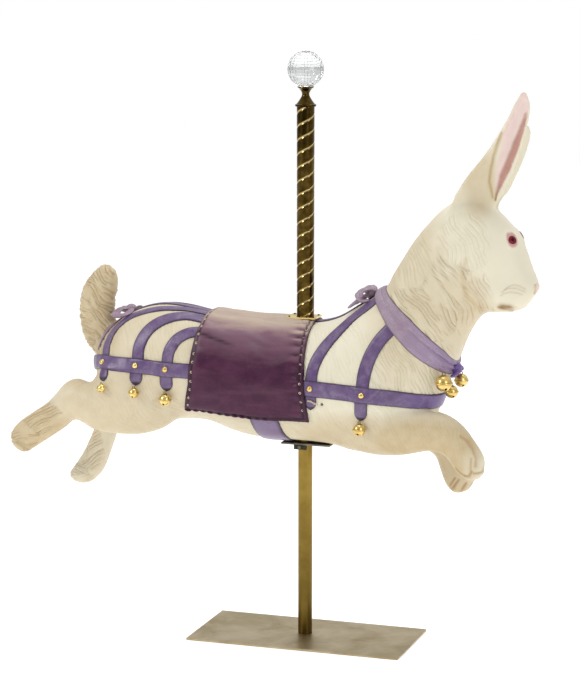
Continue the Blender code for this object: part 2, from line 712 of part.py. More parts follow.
SPINE_STRAP = [(-48.0, 0.0, 86.6), (-40.0, 0.0, 88.8), (-32.0, 0.0, 88.4), (-24.0, 0.0, 87.0)]
SPINE_STRAP_WIDTH = 0.026
CRUPPER = [(-57.6, -6.0, 76.4), (-57.0, -5.6, 79.4), (-55.4, -4.4, 82.4), (-53.4, -2.4, 84.2),
           (-52.6, 0.0, 84.8)]
CRUPPER_WIDTH = 0.022
GIRTH = [(-8.0, -12.0, 64.0), (-7.6, -10.9, 60.4), (-7.0, -8.6, 57.2), (-6.4, -4.4, 54.8),
         (-6.2, 0.0, 54.0)]
GIRTH_WIDTH = 0.080
RIBBON = [(20.6, 0.0, 96.2, 3.6), (22.2, -4.4, 94.6, 3.9), (24.8, -7.8, 91.8, 4.8),
          (28.6, -9.4, 88.0, 5.8), (33.4, -9.3, 83.2, 6.2), (37.6, -7.6, 79.6, 5.6),
          (40.2, -4.4, 77.0, 4.4), (41.0, 0.0, 76.0, 3.8)]
# The pad's edge: turn about the body's axis in degrees, then x at its rear and front edges
PAD_EDGES = [(0.0, -26.0, 3.5), (30.0, -26.5, 3.5), (60.0, -27.5, 3.7), (90.0, -28.1, 4.1),
             (110.0, -29.3, 4.5), (127.0, -30.3, 4.8)]
PAD_AXIS_HEIGHT = 70.0
PAD_RADIUS = 13.0
PAD_ROWS = 15
PAD_COLUMNS = 6


def pad_solid(trees, thickness, grow=0.0, seat=False):
    """The pad as a sheet over the back; grow widens it all round, in metres."""
    tree, skin_tree = trees
    edges = np.array(PAD_EDGES)
    far_turn = edges[-1, 0] + math.degrees(grow / (PAD_RADIUS * CM))
    grid, ways = [], []
    for turn in np.linspace(-far_turn, far_turn, PAD_ROWS):
        rear = np.interp(abs(turn), edges[:, 0], edges[:, 1]) - grow / CM
        front = np.interp(abs(turn), edges[:, 0], edges[:, 2]) + grow / CM
        angle = math.radians(turn)
        way = Vector((0.0, math.sin(angle), math.cos(angle)))
        line, line_ways = [], []
        for x in np.linspace(rear, front, PAD_COLUMNS):
            spot, normal, _, _ = tree.ray_cast(Vector(at(x, 0.0, PAD_AXIS_HEIGHT)), way)
            line.append(np.array(spot))
            line_ways.append(np.array(normal))
        grid.append(line)
        ways.append(line_ways)
    return laid_sheet(grid, ways, False, thickness, skin_tree, seat=seat)


def turned(name, profile, sides, height=0.0, ring=False):
    """A solid turned about the pole's axis. The profile runs down its outer side, top to bottom."""
    mesh = bpy.data.meshes.new(name)
    count = len(profile)
    verts = [(radius, 0.0, level + height) for radius, level in profile]
    edges = [(i, (i + 1) % count) for i in range(count if ring else count - 1)]
    mesh.from_pydata(verts, edges, [])
    obj = bpy.data.objects.new(name, mesh)
    spin = obj.modifiers.new("Turn", "SCREW")
    spin.steps = sides
    spin.render_steps = sides
    spin.use_merge_vertices = True
    spin.merge_threshold = MERGE
    return obj


def rod(name, radius, bottom, top, sides=24):
    bm = bmesh.new()
    middle = Matrix.Translation((0, 0, (bottom + top) / 2))
    bmesh.ops.create_cone(bm, cap_ends=True, segments=sides, radius1=radius, radius2=radius,
                          depth=top - bottom, matrix=middle)
    return as_mesh(name, bm)


def block(name, low, high):
    bm = bmesh.new()
    low, high = Vector(low), Vector(high)
    size = high - low
    place = Matrix.Translation((low + high) / 2) @ Matrix.Diagonal((*size, 1.0))
    bmesh.ops.create_cube(bm, size=1.0, matrix=place)
    return as_mesh(name, bm)


def add_bevel(obj, width):
    edge = obj.modifiers.new("Edge", "BEVEL")
    edge.width = width
    edge.segments = 1
    edge.limit_method = "ANGLE"


def pipe(bottom, top):
    """The plain pipe from the base plate through the figure into the sleeve."""
    outer, inner = PIPE_DIAMETER / 2, PIPE_DIAMETER / 2 - PIPE_WALL
    wall = [(inner, bottom), (inner, top), (outer, top), (outer, bottom)]
    return turned("pole_pipe", wall, PIPE_SIDES, ring=True)


def sleeve(bottom):
    """The twisted brass tube: a round section with grooves, turned as it rises."""
    half_groove = GROOVE_WIDTH / SLEEVE_DIAMETER
    outline = []
    for start in range(TWIST_STARTS):
        groove = 2 * math.pi * start / TWIST_STARTS
        outline.append((groove, SLEEVE_DIAMETER / 2 - GROOVE_DEPTH))
        land = 2 * math.pi / TWIST_STARTS - 2 * half_groove
        for share in (0, 1 / 3, 2 / 3, 1):
            outline.append((groove + half_groove + land * share, SLEEVE_DIAMETER / 2))
    rings = round(SLEEVE_LENGTH / TWIST_LEAD * TWIST_RINGS)
    bm = bmesh.new()
    loops = []
    for i in range(rings + 1):
        rise = SLEEVE_LENGTH * i / rings
        twist = 2 * math.pi * rise / TWIST_LEAD
        loops.append([bm.verts.new((r * math.cos(a + twist), r * math.sin(a + twist), bottom + rise))
                      for a, r in outline])
    count = len(outline)
    for low, high in zip(loops, loops[1:]):
        for i in range(count):
            j = (i + 1) % count
            bm.faces.new((low[i], low[j], high[i]))
            bm.faces.new((low[j], high[j], high[i]))
    bm.faces.new(loops[0][::-1])
    bm.faces.new(loops[-1])
    tube = loose("pole_sleeve", as_mesh("pole_sleeve", bm))
    bore = (PIPE_DIAMETER / 2 + GAP) / math.cos(math.pi / PIPE_SIDES)
    return cut(tube, loose("sleeve_bore", rod("sleeve_bore", bore, bottom - PAST,
                                              bottom + SLEEVE_LENGTH + PAST, PIPE_SIDES)))


FINIAL_CUP_RADIUS = 0.021
FINIAL_CUP_LIP = 0.002
FINIAL_CUP_RIM = 0.004
FINIAL_WAIST_RADIUS = 0.0095
FINIAL_FLANGE_RIM = 0.006
# The hollow-sided cone and the cup's stem: how far below the cup's rim, and share of the waist
FINIAL_CURVE = [(0.016, 1.25), (0.022, 1.0), (0.027, 1.2), (0.036, 1.7), (0.045, 2.5)]


def cup_sink():
    """How far the ball's centre stands above the cup's rim."""
    seat = BALL_DIAMETER / 2 + GAP
    return math.sqrt(seat ** 2 - (FINIAL_CUP_RADIUS - FINIAL_CUP_LIP) ** 2)


def finial(bottom):
    """Flange, hollow-sided cone, waist and cup."""
    flange, cup = FLANGE_DIAMETER / 2, FINIAL_CUP_RADIUS
    top = FINIAL_HEIGHT
    seat = BALL_DIAMETER / 2 + GAP
    profile = [(reach, top + cup_sink() - math.sqrt(seat ** 2 - reach ** 2) - GAP)
               for reach in (0.0, cup / 2)]
    profile += [(cup - FINIAL_CUP_LIP, top), (cup, top), (cup, top - FINIAL_CUP_RIM)]
    profile += [(FINIAL_WAIST_RADIUS * share, top - drop_to) for drop_to, share in FINIAL_CURVE]
    profile += [(flange, FINIAL_FLANGE_RIM), (flange, 0.0), (0.0, 0.0)]
    return turned("finial", profile, FINIAL_SIDES, height=bottom)


def crystal_ball(centre_height):
    bm = bmesh.new()
    place = Matrix.Translation((0, 0, centre_height))
    bmesh.ops.create_uvsphere(bm, u_segments=BALL_SEGMENTS, v_segments=BALL_RINGS,
                              radius=BALL_DIAMETER / 2, matrix=place)
    return bpy.data.objects.new("crystal_ball", as_mesh("crystal_ball", bm))


def frame_at(spot, normal, down=DOWN):
    """A placement whose Z follows the normal and whose -Y hangs downwards."""
    z = Vector(normal).normalized()
    y = -(down - z * down.dot(z)).normalized()
    x = y.cross(z)
    turn = Matrix((x, y, z)).transposed().to_4x4()
    return Matrix.Translation(Vector(spot)) @ turn


STUD_SHOULDER = 0.6


def stud(name, spot, normal, diameter=STUD_DIAMETER, height=STUD_HEIGHT, down=DOWN):
    """A domed nail head whose flat back lies on the strap."""
    sides = STUD_SIDES
    bm = bmesh.new()
    place = frame_at(spot, normal, down)
    rings = []
    for share in (0.0, STUD_SHOULDER):
        radius = diameter / 2 * math.sqrt(1 - share ** 2)
        rings.append([bm.verts.new(place @ Vector((radius * math.cos(2 * math.pi * i / sides),
                                                   radius * math.sin(2 * math.pi * i / sides),
                                                   height * share))) for i in range(sides)])
    tip = bm.verts.new(place @ Vector((0, 0, height)))
    for first, second in zip(rings, rings[1:]):
        for i in range(sides):
            j = (i + 1) % sides
            bm.faces.new((first[i], first[j], second[j], second[i]))
    for i in range(sides):
        bm.faces.new((rings[-1][i], rings[-1][(i + 1) % sides], tip))
    bm.faces.new(rings[0][::-1])
    return bpy.data.objects.new(name, as_mesh(name, bm))


BELL_RIM = 1.07
BELL_RIM_HALF = 0.05
BELL_SHOULDER = 0.74
BELL_SLOT_WIDTH = 0.10
BELL_SLOT_DEPTH = 0.22
BELL_LOOP = 0.17
BELL_LOOP_HALF = 0.10
BELL_LOOP_TOP = 1.30


def bell(name, centre, diameter, aim, sides):
    """A sleigh bell: ball with a girdle, a slot across its lower front and a loop on top."""
    r = diameter / 2 / BELL_RIM
    h = BELL_RIM_HALF * diameter
    bm = bmesh.new()
    shoulder = (BELL_SHOULDER * r, math.sqrt(1 - BELL_SHOULDER ** 2) * r)
    levels = [shoulder, (diameter / 2, h), (diameter / 2, -h), (shoulder[0], -shoulder[1])]
    rings = [[bm.verts.new((radius * math.cos(2 * math.pi * i / sides),
                            radius * math.sin(2 * math.pi * i / sides), level))
              for i in range(sides)] for radius, level in levels]
    top = bm.verts.new((0, 0, r))
    bottom = bm.verts.new((0, 0, -r))
    for first, second in zip(rings, rings[1:]):
        for i in range(sides):
            j = (i + 1) % sides
            bm.faces.new((first[j], first[i], second[i], second[j]))
    for i in range(sides):
        j = (i + 1) % sides
        bm.faces.new((top, rings[0][i], rings[0][j]))
        bm.faces.new((bottom, rings[-1][j], rings[-1][i]))
    ball = loose(name + "_ball", as_mesh(name, bm))
    slot = loose(name + "_slot", block("slot", (-BELL_SLOT_WIDTH * r, -diameter, -diameter),
                                       (BELL_SLOT_WIDTH * r, diameter, -(1 - BELL_SLOT_DEPTH) * r)))
    cut(ball, slot)
    shank = loose(name + "_loop", block("loop", (-BELL_LOOP * r, -BELL_LOOP_HALF * r, 0.9 * r),
                                        (BELL_LOOP * r, BELL_LOOP_HALF * r, BELL_LOOP_TOP * r)))
    cut(ball, shank, "UNION")
    turn = math.atan2(aim[1], aim[0]) + math.pi / 2
    place = Matrix.Translation(Vector(centre)) @ Matrix.Rotation(turn, 4, "Z")
    mesh = ball.data
    drop(ball)
    mesh.transform(place)
    return bpy.data.objects.new(name, mesh)


PETAL_FLATTENING = 0.45
PETAL_SIDES = 10


def petal_tube(bm, points, radii):
    """A soft folded loop of a bow, as a flattened tube through points in drawing cm."""
    rows = [tuple(p) + (r, 0.0, 0.0) for p, r in zip(points, radii)]
    rows = smooth_path(rows, 4 * len(points))
    centre = rows[:, :3]
    axis = np.gradient(centre, axis=0)
    loops = []
    sides = PETAL_SIDES
    for c, t, radius in zip(centre, axis, rows[:, 3]):
        t = t / np.linalg.norm(t)
        across = np.cross(t, (0.0, 0.0, 1.0))
        across /= max(np.linalg.norm(across), 1e-6)
        lift = np.cross(across, t) * PETAL_FLATTENING
        ring = []
        for i in range(sides):
            turn = 2 * math.pi * i / sides
            ring.append(bm.verts.new(at(*(c + radius * (across * math.cos(turn) + lift * math.sin(turn))))))
        loops.append(ring)
    for first, second in zip(loops, loops[1:]):
        for i in range(sides):
            j = (i + 1) % sides
            bm.faces.new((first[i], first[j], second[j], second[i]))
    bm.faces.new(loops[0][::-1])
    bm.faces.new(loops[-1])
    for face in bm.faces:
        face.smooth = True


MELT_SOFTENING = 4


def molten(name, bm, voxel, faces):
    """Overlapping shapes melted into one skin of few faces."""
    bmesh.ops.recalc_face_normals(bm, faces=bm.faces)
    obj = loose(name + "_rough", as_mesh(name, bm))
    melt = obj.modifiers.new("Melt", "REMESH")
    melt.mode = "VOXEL"
    melt.voxel_size = voxel
    mesh = evaluated(obj)
    obj.modifiers.clear()
    obj.data = mesh
    soft = obj.modifiers.new("Soften", "SMOOTH")
    soft.factor = SOFTENING
    soft.iterations = MELT_SOFTENING
    thin = obj.modifiers.new("Facets", "DECIMATE")
    thin.ratio = min(1.0, faces / (2 * len(mesh.polygons)))
    thin.use_collapse_triangulate = True
    mesh = evaluated(obj)
    drop(obj)
    return mesh


# Bows, in drawing cm: each loop is a list of points and half widths
NAPE_BOW = [
    ([(19.0, 0.0, 94.6), (17.8, -2.0, 95.6), (16.0, -3.4, 94.6), (16.4, -4.0, 92.8),
      (18.6, -2.6, 92.8)], [0.9, 1.1, 1.2, 1.1, 0.9]),
    ([(18.6, -1.0, 94.0), (16.6, -1.8, 93.4), (14.4, -2.8, 91.8), (12.6, -3.2, 90.4)],
     [0.9, 1.1, 1.0, 0.7]),
]
NAPE_BOW_HEART = ((18.2, 0.0, 94.4), (1.6, 1.6, 1.4))
CROUP_BOW = [
    ([(-49.6, 0.0, 86.8), (-52.0, -1.6, 86.6), (-52.6, -3.8, 85.4), (-49.6, -4.6, 85.6),
      (-47.8, -2.4, 87.2)], [0.9, 1.1, 1.3, 1.2, 0.9]),
]
CROUP_BOW_HEART = ((-49.4, 0.0, 86.8), (1.5, 1.4, 1.2))
KNOT = [
    ([(41.4, -1.2, 76.0), (42.0, -2.6, 75.4), (41.6, -3.2, 74.4), (41.0, -2.6, 73.6)],
     [1.1, 1.3, 1.1, 0.6]),
    ([(41.4, -0.6, 76.0), (42.2, 0.8, 75.6), (42.2, 0.8, 74.8)], [1.1, 1.2, 0.7]),
]
KNOT_HEART = ((41.7, -1.0, 75.8), (1.4, 2.0, 1.5))


def mirrored_loops(loops):
    """A bow's loops on the near side and the same on the far side."""
    return loops + [([(x, -y, z) for x, y, z in points], radii) for points, radii in loops]


def bow(name, loops, heart, beneath):
    """Loops melted together and cut to sit on the solids beneath them."""
    bm = bmesh.new()
    for points, radii in loops:
        petal_tube(bm, points, radii)
    add_ball(bm, *heart)
    obj = loose(name, molten(name, bm, BOW_VOXEL, BOW_TRIANGLES))
    for mesh in beneath:
        cut(obj, loose(name + "_seat", mesh.copy()))
    return obj


STUDS = {
    "rump": [(-53.4, -10.0, 73.6), (-43.0, -13.9, 73.8), (-34.4, -13.5, 73.3)],
    "breast": [(5.6, -12.9, 70.4), (19.6, -12.6, 69.5)],
}
BELLS = [("bell_rump", (-52.2, -14.0, 67.4), 0.0255), ("bell_hip", (-42.9, -14.6, 66.7), 0.0305),
         ("bell_flank", (-34.6, -13.2, 65.1), 0.036), ("bell_shoulder", (19.2, -13.0, 60.6), 0.0355)]
THROAT_BELLS = [("throat_bell_near", (40.0, -8.0, 73.0), 0.047),
                ("throat_bell_low", (41.2, -4.2, 70.1), 0.037),
                ("throat_bell_far", (42.5, 0.6, 72.3), 0.039)]
THROAT_WAY = (0.5, -0.85, 0.0)
THROAT_AIM = (0.6, -0.8, 0.0)
EYE = (57.2, 110.4)
# The lace that ties down the pad's front corner, from the pad's edge to its tack
TIE = ((4.9, 67.2), (8.0, 66.5))


def material(name, colour, roughness=0.5, metallic=0.0, clear=0.0):
    mat = bpy.data.materials.new(name)
    mat.use_nodes = True
    shader = mat.node_tree.nodes["Principled BSDF"]
    shader.inputs["Base Color"].default_value = (*colour, 1.0)
    shader.inputs["Roughness"].default_value = roughness
    shader.inputs["Metallic"].default_value = metallic
    shader.inputs["Transmission Weight"].default_value = clear
    mat.diffuse_color = (*colour, 1.0)
    return mat


def paints():
    return {
        "cream": material("Cream enamel", (0.78, 0.74, 0.60), 0.45),
        "purple": material("Purple strap paint", (0.15, 0.08, 0.24), 0.4),
        "lavender": material("Lavender ribbon paint", (0.33, 0.25, 0.40), 0.45),
        "plum": material("Plum leather", (0.09, 0.03, 0.09), 0.45),
        "gold": material("Bright brass", (0.75, 0.46, 0.12), 0.25, 1.0),
        "brass": material("Aged brass", (0.36, 0.25, 0.10), 0.32, 1.0),
        "bronze": material("Dull bronze", (0.34, 0.28, 0.18), 0.45, 1.0),
        "crystal": material("Crystal", (0.95, 0.96, 0.96), 0.02, 0.0, 1.0),
        "ruby": material("Red glass eye", (0.18, 0.01, 0.02), 0.05),
        "steel": material("Dark steel", (0.10, 0.10, 0.09), 0.5, 1.0),
        "black": material("Black rubber", (0.02, 0.02, 0.02), 0.8),
    }


def clear_place(trees, centre, radius, way):
    """The first place along way where a ball of this radius clears every solid."""
    centre, way = Vector(centre), Vector(way).normalized()
    for step in range(round(FAR_OUT / HANGING_STEP)):
        spot = centre + way * step * HANGING_STEP
        room = []
        for tree in trees:
            near, out, _, distance = tree.find_nearest(spot)
            room.append(distance if (spot - near).dot(out) > 0 else -distance)
        if min(room) > radius + LAID_GAP:
            return spot
    return centre


def seated(tree, spot, normal, radius):
    """Where a flat disc of this radius lies on a curved surface with a small gap."""
    place = frame_at((0, 0, 0), normal, Vector((0.1, 0.2, -1)))
    rise = 0.0
    for angle in np.arange(12) * math.pi / 6:
        for reach in (radius / 2, radius):
            rim = spot + place @ Vector((reach * math.cos(angle), reach * math.sin(angle), 0))
            hit, _, _, _ = tree.ray_cast(rim + normal * 2 * PAST, -normal)
            if hit:
                rise = max(rise, (hit - spot).dot(normal))
    return spot + normal * (rise + LAID_GAP)


def level_over(tree, half_x, half_y, start, way):
    """The first level met over a rectangle about the pole, going up or down from start."""
    levels = []
    for x in np.linspace(-half_x, half_x, 9):
        for y in np.linspace(-half_y, half_y, 9):
            spot, _, _, _ = tree.ray_cast(Vector((x, y, start)), Vector((0, 0, way)))
            if spot:
                levels.append(spot.z)
    return min(levels) if way > 0 else max(levels)


def keep(obj, paint, smooth=True):
    """Take a finished solid into the model, with its paint."""
    for holder in list(obj.users_collection):
        holder.objects.unlink(obj)
    obj.hide_render = False
    obj.display_type = "TEXTURED"
    bpy.data.collections[FIGURE].objects.link(obj)
    obj.data.materials.clear()
    obj.data.materials.append(paint)
    if smooth:
        obj.data.shade_smooth()
        obj.data.set_sharp_from_angle(angle=SHARP_ANGLE)
    return obj


def hole_through(obj, radius, low, high, sides=PIPE_SIDES):
    return cut(obj, loose("hole", rod("hole", radius, low, high, sides)))


def saddle(trees, paint):
    """The pad with the pole's plate let into its top. Returns the plate's upper level."""
    pad = loose("saddle_pad", as_mesh("saddle_pad", pad_solid(trees, PAD_THICKNESS)))
    above = BELLY_HEIGHT + FIGURE_LENGTH
    seat = level_over(tree_of(pad.data), PIPE_WALL, PIPE_WALL, above, -1) - SEAT_PLATE_LET_IN
    half_x, half_y = SEAT_PLATE_LENGTH / 2, SEAT_PLATE_WIDTH / 2
    radius = PIPE_DIAMETER / 2 + BORE_CLEARANCE
    recess = block("recess", (SEAT_PLATE_FORWARD - half_x - GAP, -half_y - GAP, seat - GAP),
                   (SEAT_PLATE_FORWARD + half_x + GAP, half_y + GAP, above))
    cut(pad, loose("plate_recess", recess))
    hole_through(pad, radius, BELLY_HEIGHT, above)
    keep(pad, paint["plum"])
    top = seat + SEAT_PLATE_THICKNESS
    plate = loose("pole_plate", block("pole_plate", (SEAT_PLATE_FORWARD - half_x, -half_y, seat),
                                      (SEAT_PLATE_FORWARD + half_x, half_y, top)))
    hole_through(plate, radius, seat - PAST, top + PAST)
    keep(plate, paint["brass"], False)
    inset_x, inset_y = half_x - SCREW_DIAMETER, half_y - SCREW_DIAMETER
    spots = [(SEAT_PLATE_FORWARD + i * inset_x, j * inset_y) for i in (-1, 1) for j in (-1, 1)]
    for number, (x, y) in enumerate(spots):
        screw = stud("plate_screw_%d" % (number + 1), (x, y, top + GAP), (0, 0, 1),
                     SCREW_DIAMETER, SCREW_DIAMETER / 3, Vector((1, 0, 0)))
        keep(screw, paint["brass"])
    return top


def harness(trees, paint):
    """Breast and rump harness, withers strap, girth and crupper, clear of the pad and ribbon."""
    thin = STRAP_THICKNESS
    band = STRAP_THICKNESS + BAND_LIFT
    front = [strip(trees, around(BREAST_BAND), BREAST_BAND_WIDTH, band, BREAST_STEPS)]
    rear = [strip(trees, around(RUMP_BAND), RUMP_BAND_WIDTH, band, RUMP_STEPS)]
    for side in (0, 1):
        for route, width, steps in ((SHOULDER_STRAP, SHOULDER_STRAP_WIDTH, SHOULDER_STEPS),
                                    (NECK_STRAP, NECK_STRAP_WIDTH, NECK_STEPS)):
            front.append(strip(trees, both_sides(route)[side], width, thin, steps, tucked=True))
        for route, width in ((SHOULDER_TAB, SHOULDER_STRAP_WIDTH), (NECK_TAB, NECK_STRAP_WIDTH)):
            front.append(strip(trees, both_sides(route)[side], width, thin, TAB_STEPS,
                               pointed=True, tucked=True))
        for route, width in CROUP_STRAPS:
            rear.append(strip(trees, both_sides(route)[side], width, thin, CROUP_STEPS, tucked=True))
        for route, width in CROUP_TABS:
            rear.append(strip(trees, both_sides(route)[side], width, thin, TAB_STEPS,
                              pointed=True, tucked=True))
    # The rooms are twice as deep as what lies in them, so no thin skin of a strap stays above
    pad_room = as_mesh("pad_room", pad_solid(trees, 2 * PAD_THICKNESS, grow=ROOM_MARGIN, seat=True))
    ribbon_route = around(RIBBON)
    ribbon_room = strip(trees, ribbon_route, 0.0, 2 * RIBBON_THICKNESS, RIBBON_STEPS,
                        grow=ROOM_MARGIN, closed=True, seat=True)
    ribbon_room = as_mesh("ribbon_room", ribbon_room)
    ribbon = strip(trees, ribbon_route, 0.0, RIBBON_THICKNESS, RIBBON_STEPS, across=3, closed=True)
    keep(fused("neck_ribbon", [ribbon]), paint["lavender"])
    withers = [strip(trees, WITHERS_STRAP, SHOULDER_STRAP_WIDTH, thin, WITHERS_STEPS)]
    girth = [strip(trees, around(GIRTH), GIRTH_WIDTH, thin, GIRTH_STEPS)]
    rear.append(strip(trees, SPINE_STRAP, SPINE_STRAP_WIDTH, band, SPINE_STEPS))
    for name, pieces, rooms in (("harness_front", front, (pad_room, ribbon_room)),
                                ("harness_rear", rear, (pad_room,)),
                                ("withers_strap", withers, (pad_room, ribbon_room)),
                                ("girth", girth, (pad_room,))):
        solid = fused(name, pieces)
        for room in rooms:
            cut(solid, loose(name + "_room", room.copy()))
        tidied(solid)
        keep(solid, paint["purple"])
    crupper = strip(trees, around(CRUPPER), CRUPPER_WIDTH, thin, CRUPPER_STEPS)
    keep(fused("crupper", [crupper]), paint["lavender"])


def bows(trees, skin, paint):
    """The knot at the throat and the bows at nape and croup, each sitting on what lies below."""
    def room(route, width, thickness, steps, **how):
        sheet = strip(trees, route, width, thickness, steps, grow=ROOM_MARGIN, seat=True, **how)
        return as_mesh("room", sheet)

    thin = STRAP_THICKNESS
    skin_seat = raised(skin, BOW_SEAT)
    ribbon = room(around(RIBBON), 0.0, RIBBON_THICKNESS, RIBBON_STEPS, across=3, closed=True)
    nape = [skin_seat, ribbon, room(WITHERS_STRAP, SHOULDER_STRAP_WIDTH, thin, WITHERS_STEPS)]
    nape += [room(route, SHOULDER_STRAP_WIDTH, thin, SHOULDER_STEPS)
             for route in both_sides(SHOULDER_STRAP)]
    croup = [skin_seat, room(SPINE_STRAP, SPINE_STRAP_WIDTH, thin + BAND_LIFT, SPINE_STEPS),
             room(around(CRUPPER), CRUPPER_WIDTH, thin, CRUPPER_STEPS)]
    for strap_route, width in CROUP_STRAPS[:2]:
        croup += [room(route, width, thin, CROUP_STEPS) for route in both_sides(strap_route)]
    croup.append(raised(bpy.data.objects["harness_rear"].data, BOW_SEAT))
    nape_loops, croup_loops = mirrored_loops(NAPE_BOW), mirrored_loops(CROUP_BOW)
    keep(bow("nape_bow", nape_loops, NAPE_BOW_HEART, nape), paint["lavender"])
    keep(bow("croup_bow", croup_loops, CROUP_BOW_HEART, croup), paint["lavender"])
    keep(bow("ribbon_knot", KNOT, KNOT_HEART, (skin_seat, ribbon)), paint["purple"])


def band_studs(bands, paint):
    """Domed studs where the straps cross the bands, on both sides."""
    for band, places in STUDS.items():
        for number, (x, y, z) in enumerate(places):
            for sign, side_name in ((1, "near"), (-1, "far")):
                start = Vector(at(x, 2.0 * y * sign, z))
                spot, normal, _, _ = bands[band].ray_cast(start, Vector((0, sign, 0)))
                name = "stud_%s_%d_%s" % (band, number + 1, side_name)
                seat = seated(bands[band], spot, normal, STUD_DIAMETER / 2)
                keep(stud(name, seat, normal), paint["gold"])


def bells(solids, paint):
    """A bell under each tab, on both sides, and three at the throat."""
    for name, (x, y, z), diameter in BELLS:
        for sign, side_name in ((1, "near"), (-1, "far")):
            outward = (0, -sign, 0)
            spot = clear_place(solids, at(x, y * sign, z), diameter / 2, outward)
            hung = bell("%s_%s" % (name, side_name), spot, diameter, outward, SMALL_BELL_SIDES)
            keep(hung, paint["gold"])
    for name, centre, diameter in THROAT_BELLS:
        spot = clear_place(solids, at(*centre), diameter / 2, THROAT_WAY)
        hung = keep(bell(name, spot, diameter, THROAT_AIM, THROAT_BELL_SIDES), paint["gold"])
        solids.append(tree_of(hung.data))


def pad_lace(skin_tree, band_tree, paint):
    """The lace at the pad's lower front corner, which ends under a tack."""
    hits = []
    for share in np.linspace(0, 1, 9):
        x, z = np.array(TIE[0]) * (1 - share) + np.array(TIE[1]) * share
        start = Vector((x * CM, -FAR_OUT, at(0.0, 0.0, z)[2]))
        hits += [tree.ray_cast(start, Vector((0, 1, 0)))[0] for tree in (skin_tree, band_tree)]
    nearest = min(spot.y for spot in hits if spot)
    ends = [Vector(at(x, 0.0, z)) for x, z in TIE]
    for end in ends:
        end.y = nearest - TIE_DIAMETER / 2 - LAID_GAP
    way = ends[1] - ends[0]
    lace = rod("pad_tie", TIE_DIAMETER / 2, -way.length / 2, way.length / 2, 8)
    turn = Vector((0, 0, 1)).rotation_difference(way).to_matrix().to_4x4()
    lace.transform(Matrix.Translation((ends[0] + ends[1]) / 2) @ turn)
    keep(loose("pad_tie", lace), paint["cream"])
    place = ends[1] + way.normalized() * TACK_DIAMETER
    spot, normal, _, _ = skin_tree.ray_cast(Vector((place.x, -FAR_OUT, place.z)), Vector((0, 1, 0)))
    seat = seated(skin_tree, spot, normal, TACK_DIAMETER / 2)
    keep(stud("pad_tack", seat, normal, TACK_DIAMETER, TACK_DIAMETER / 3), paint["black"])


def trimmings(skin_tree, paint):
    """Studs on the bands, bells under the tabs and at the throat, and the pad's lace."""
    bands = {"rump": tree_of(bpy.data.objects["harness_rear"].data),
             "breast": tree_of(bpy.data.objects["harness_front"].data)}
    band_studs(bands, paint)
    knot_tree = tree_of(bpy.data.objects["ribbon_knot"].data)
    bells([skin_tree, bands["rump"], bands["breast"], knot_tree], paint)
    pad_lace(skin_tree, bands["breast"], paint)


def glass_ball(name, centre, radius):
    bm = bmesh.new()
    place = Matrix.Translation(Vector(centre))
    bmesh.ops.create_uvsphere(bm, u_segments=8, v_segments=6, radius=radius, matrix=place)
    return loose(name, as_mesh(name, bm))


def figure(skin, skin_tree, top, paint):
    """The carved rabbit, bored for the pole, with sockets for its glass eyes."""
    rabbit = loose("rabbit", skin)
    hole_through(rabbit, PIPE_DIAMETER / 2 + BORE_CLEARANCE, 0.0, top + PAST)
    for sign, side_name in ((-1, "near"), (1, "far")):
        start = Vector((EYE[0] * CM, FAR_OUT * sign, at(0.0, 0.0, EYE[1])[2]))
        spot, normal, _, _ = skin_tree.ray_cast(start, Vector((0, -sign, 0)))
        centre = spot - normal * (EYE_DIAMETER / 2 - EYE_BULGE)
        cut(rabbit, glass_ball("socket", centre, EYE_DIAMETER / 2 + GAP))
        keep(glass_ball("eye_" + side_name, centre, EYE_DIAMETER / 2), paint["ruby"])
    keep(rabbit, paint["cream"])


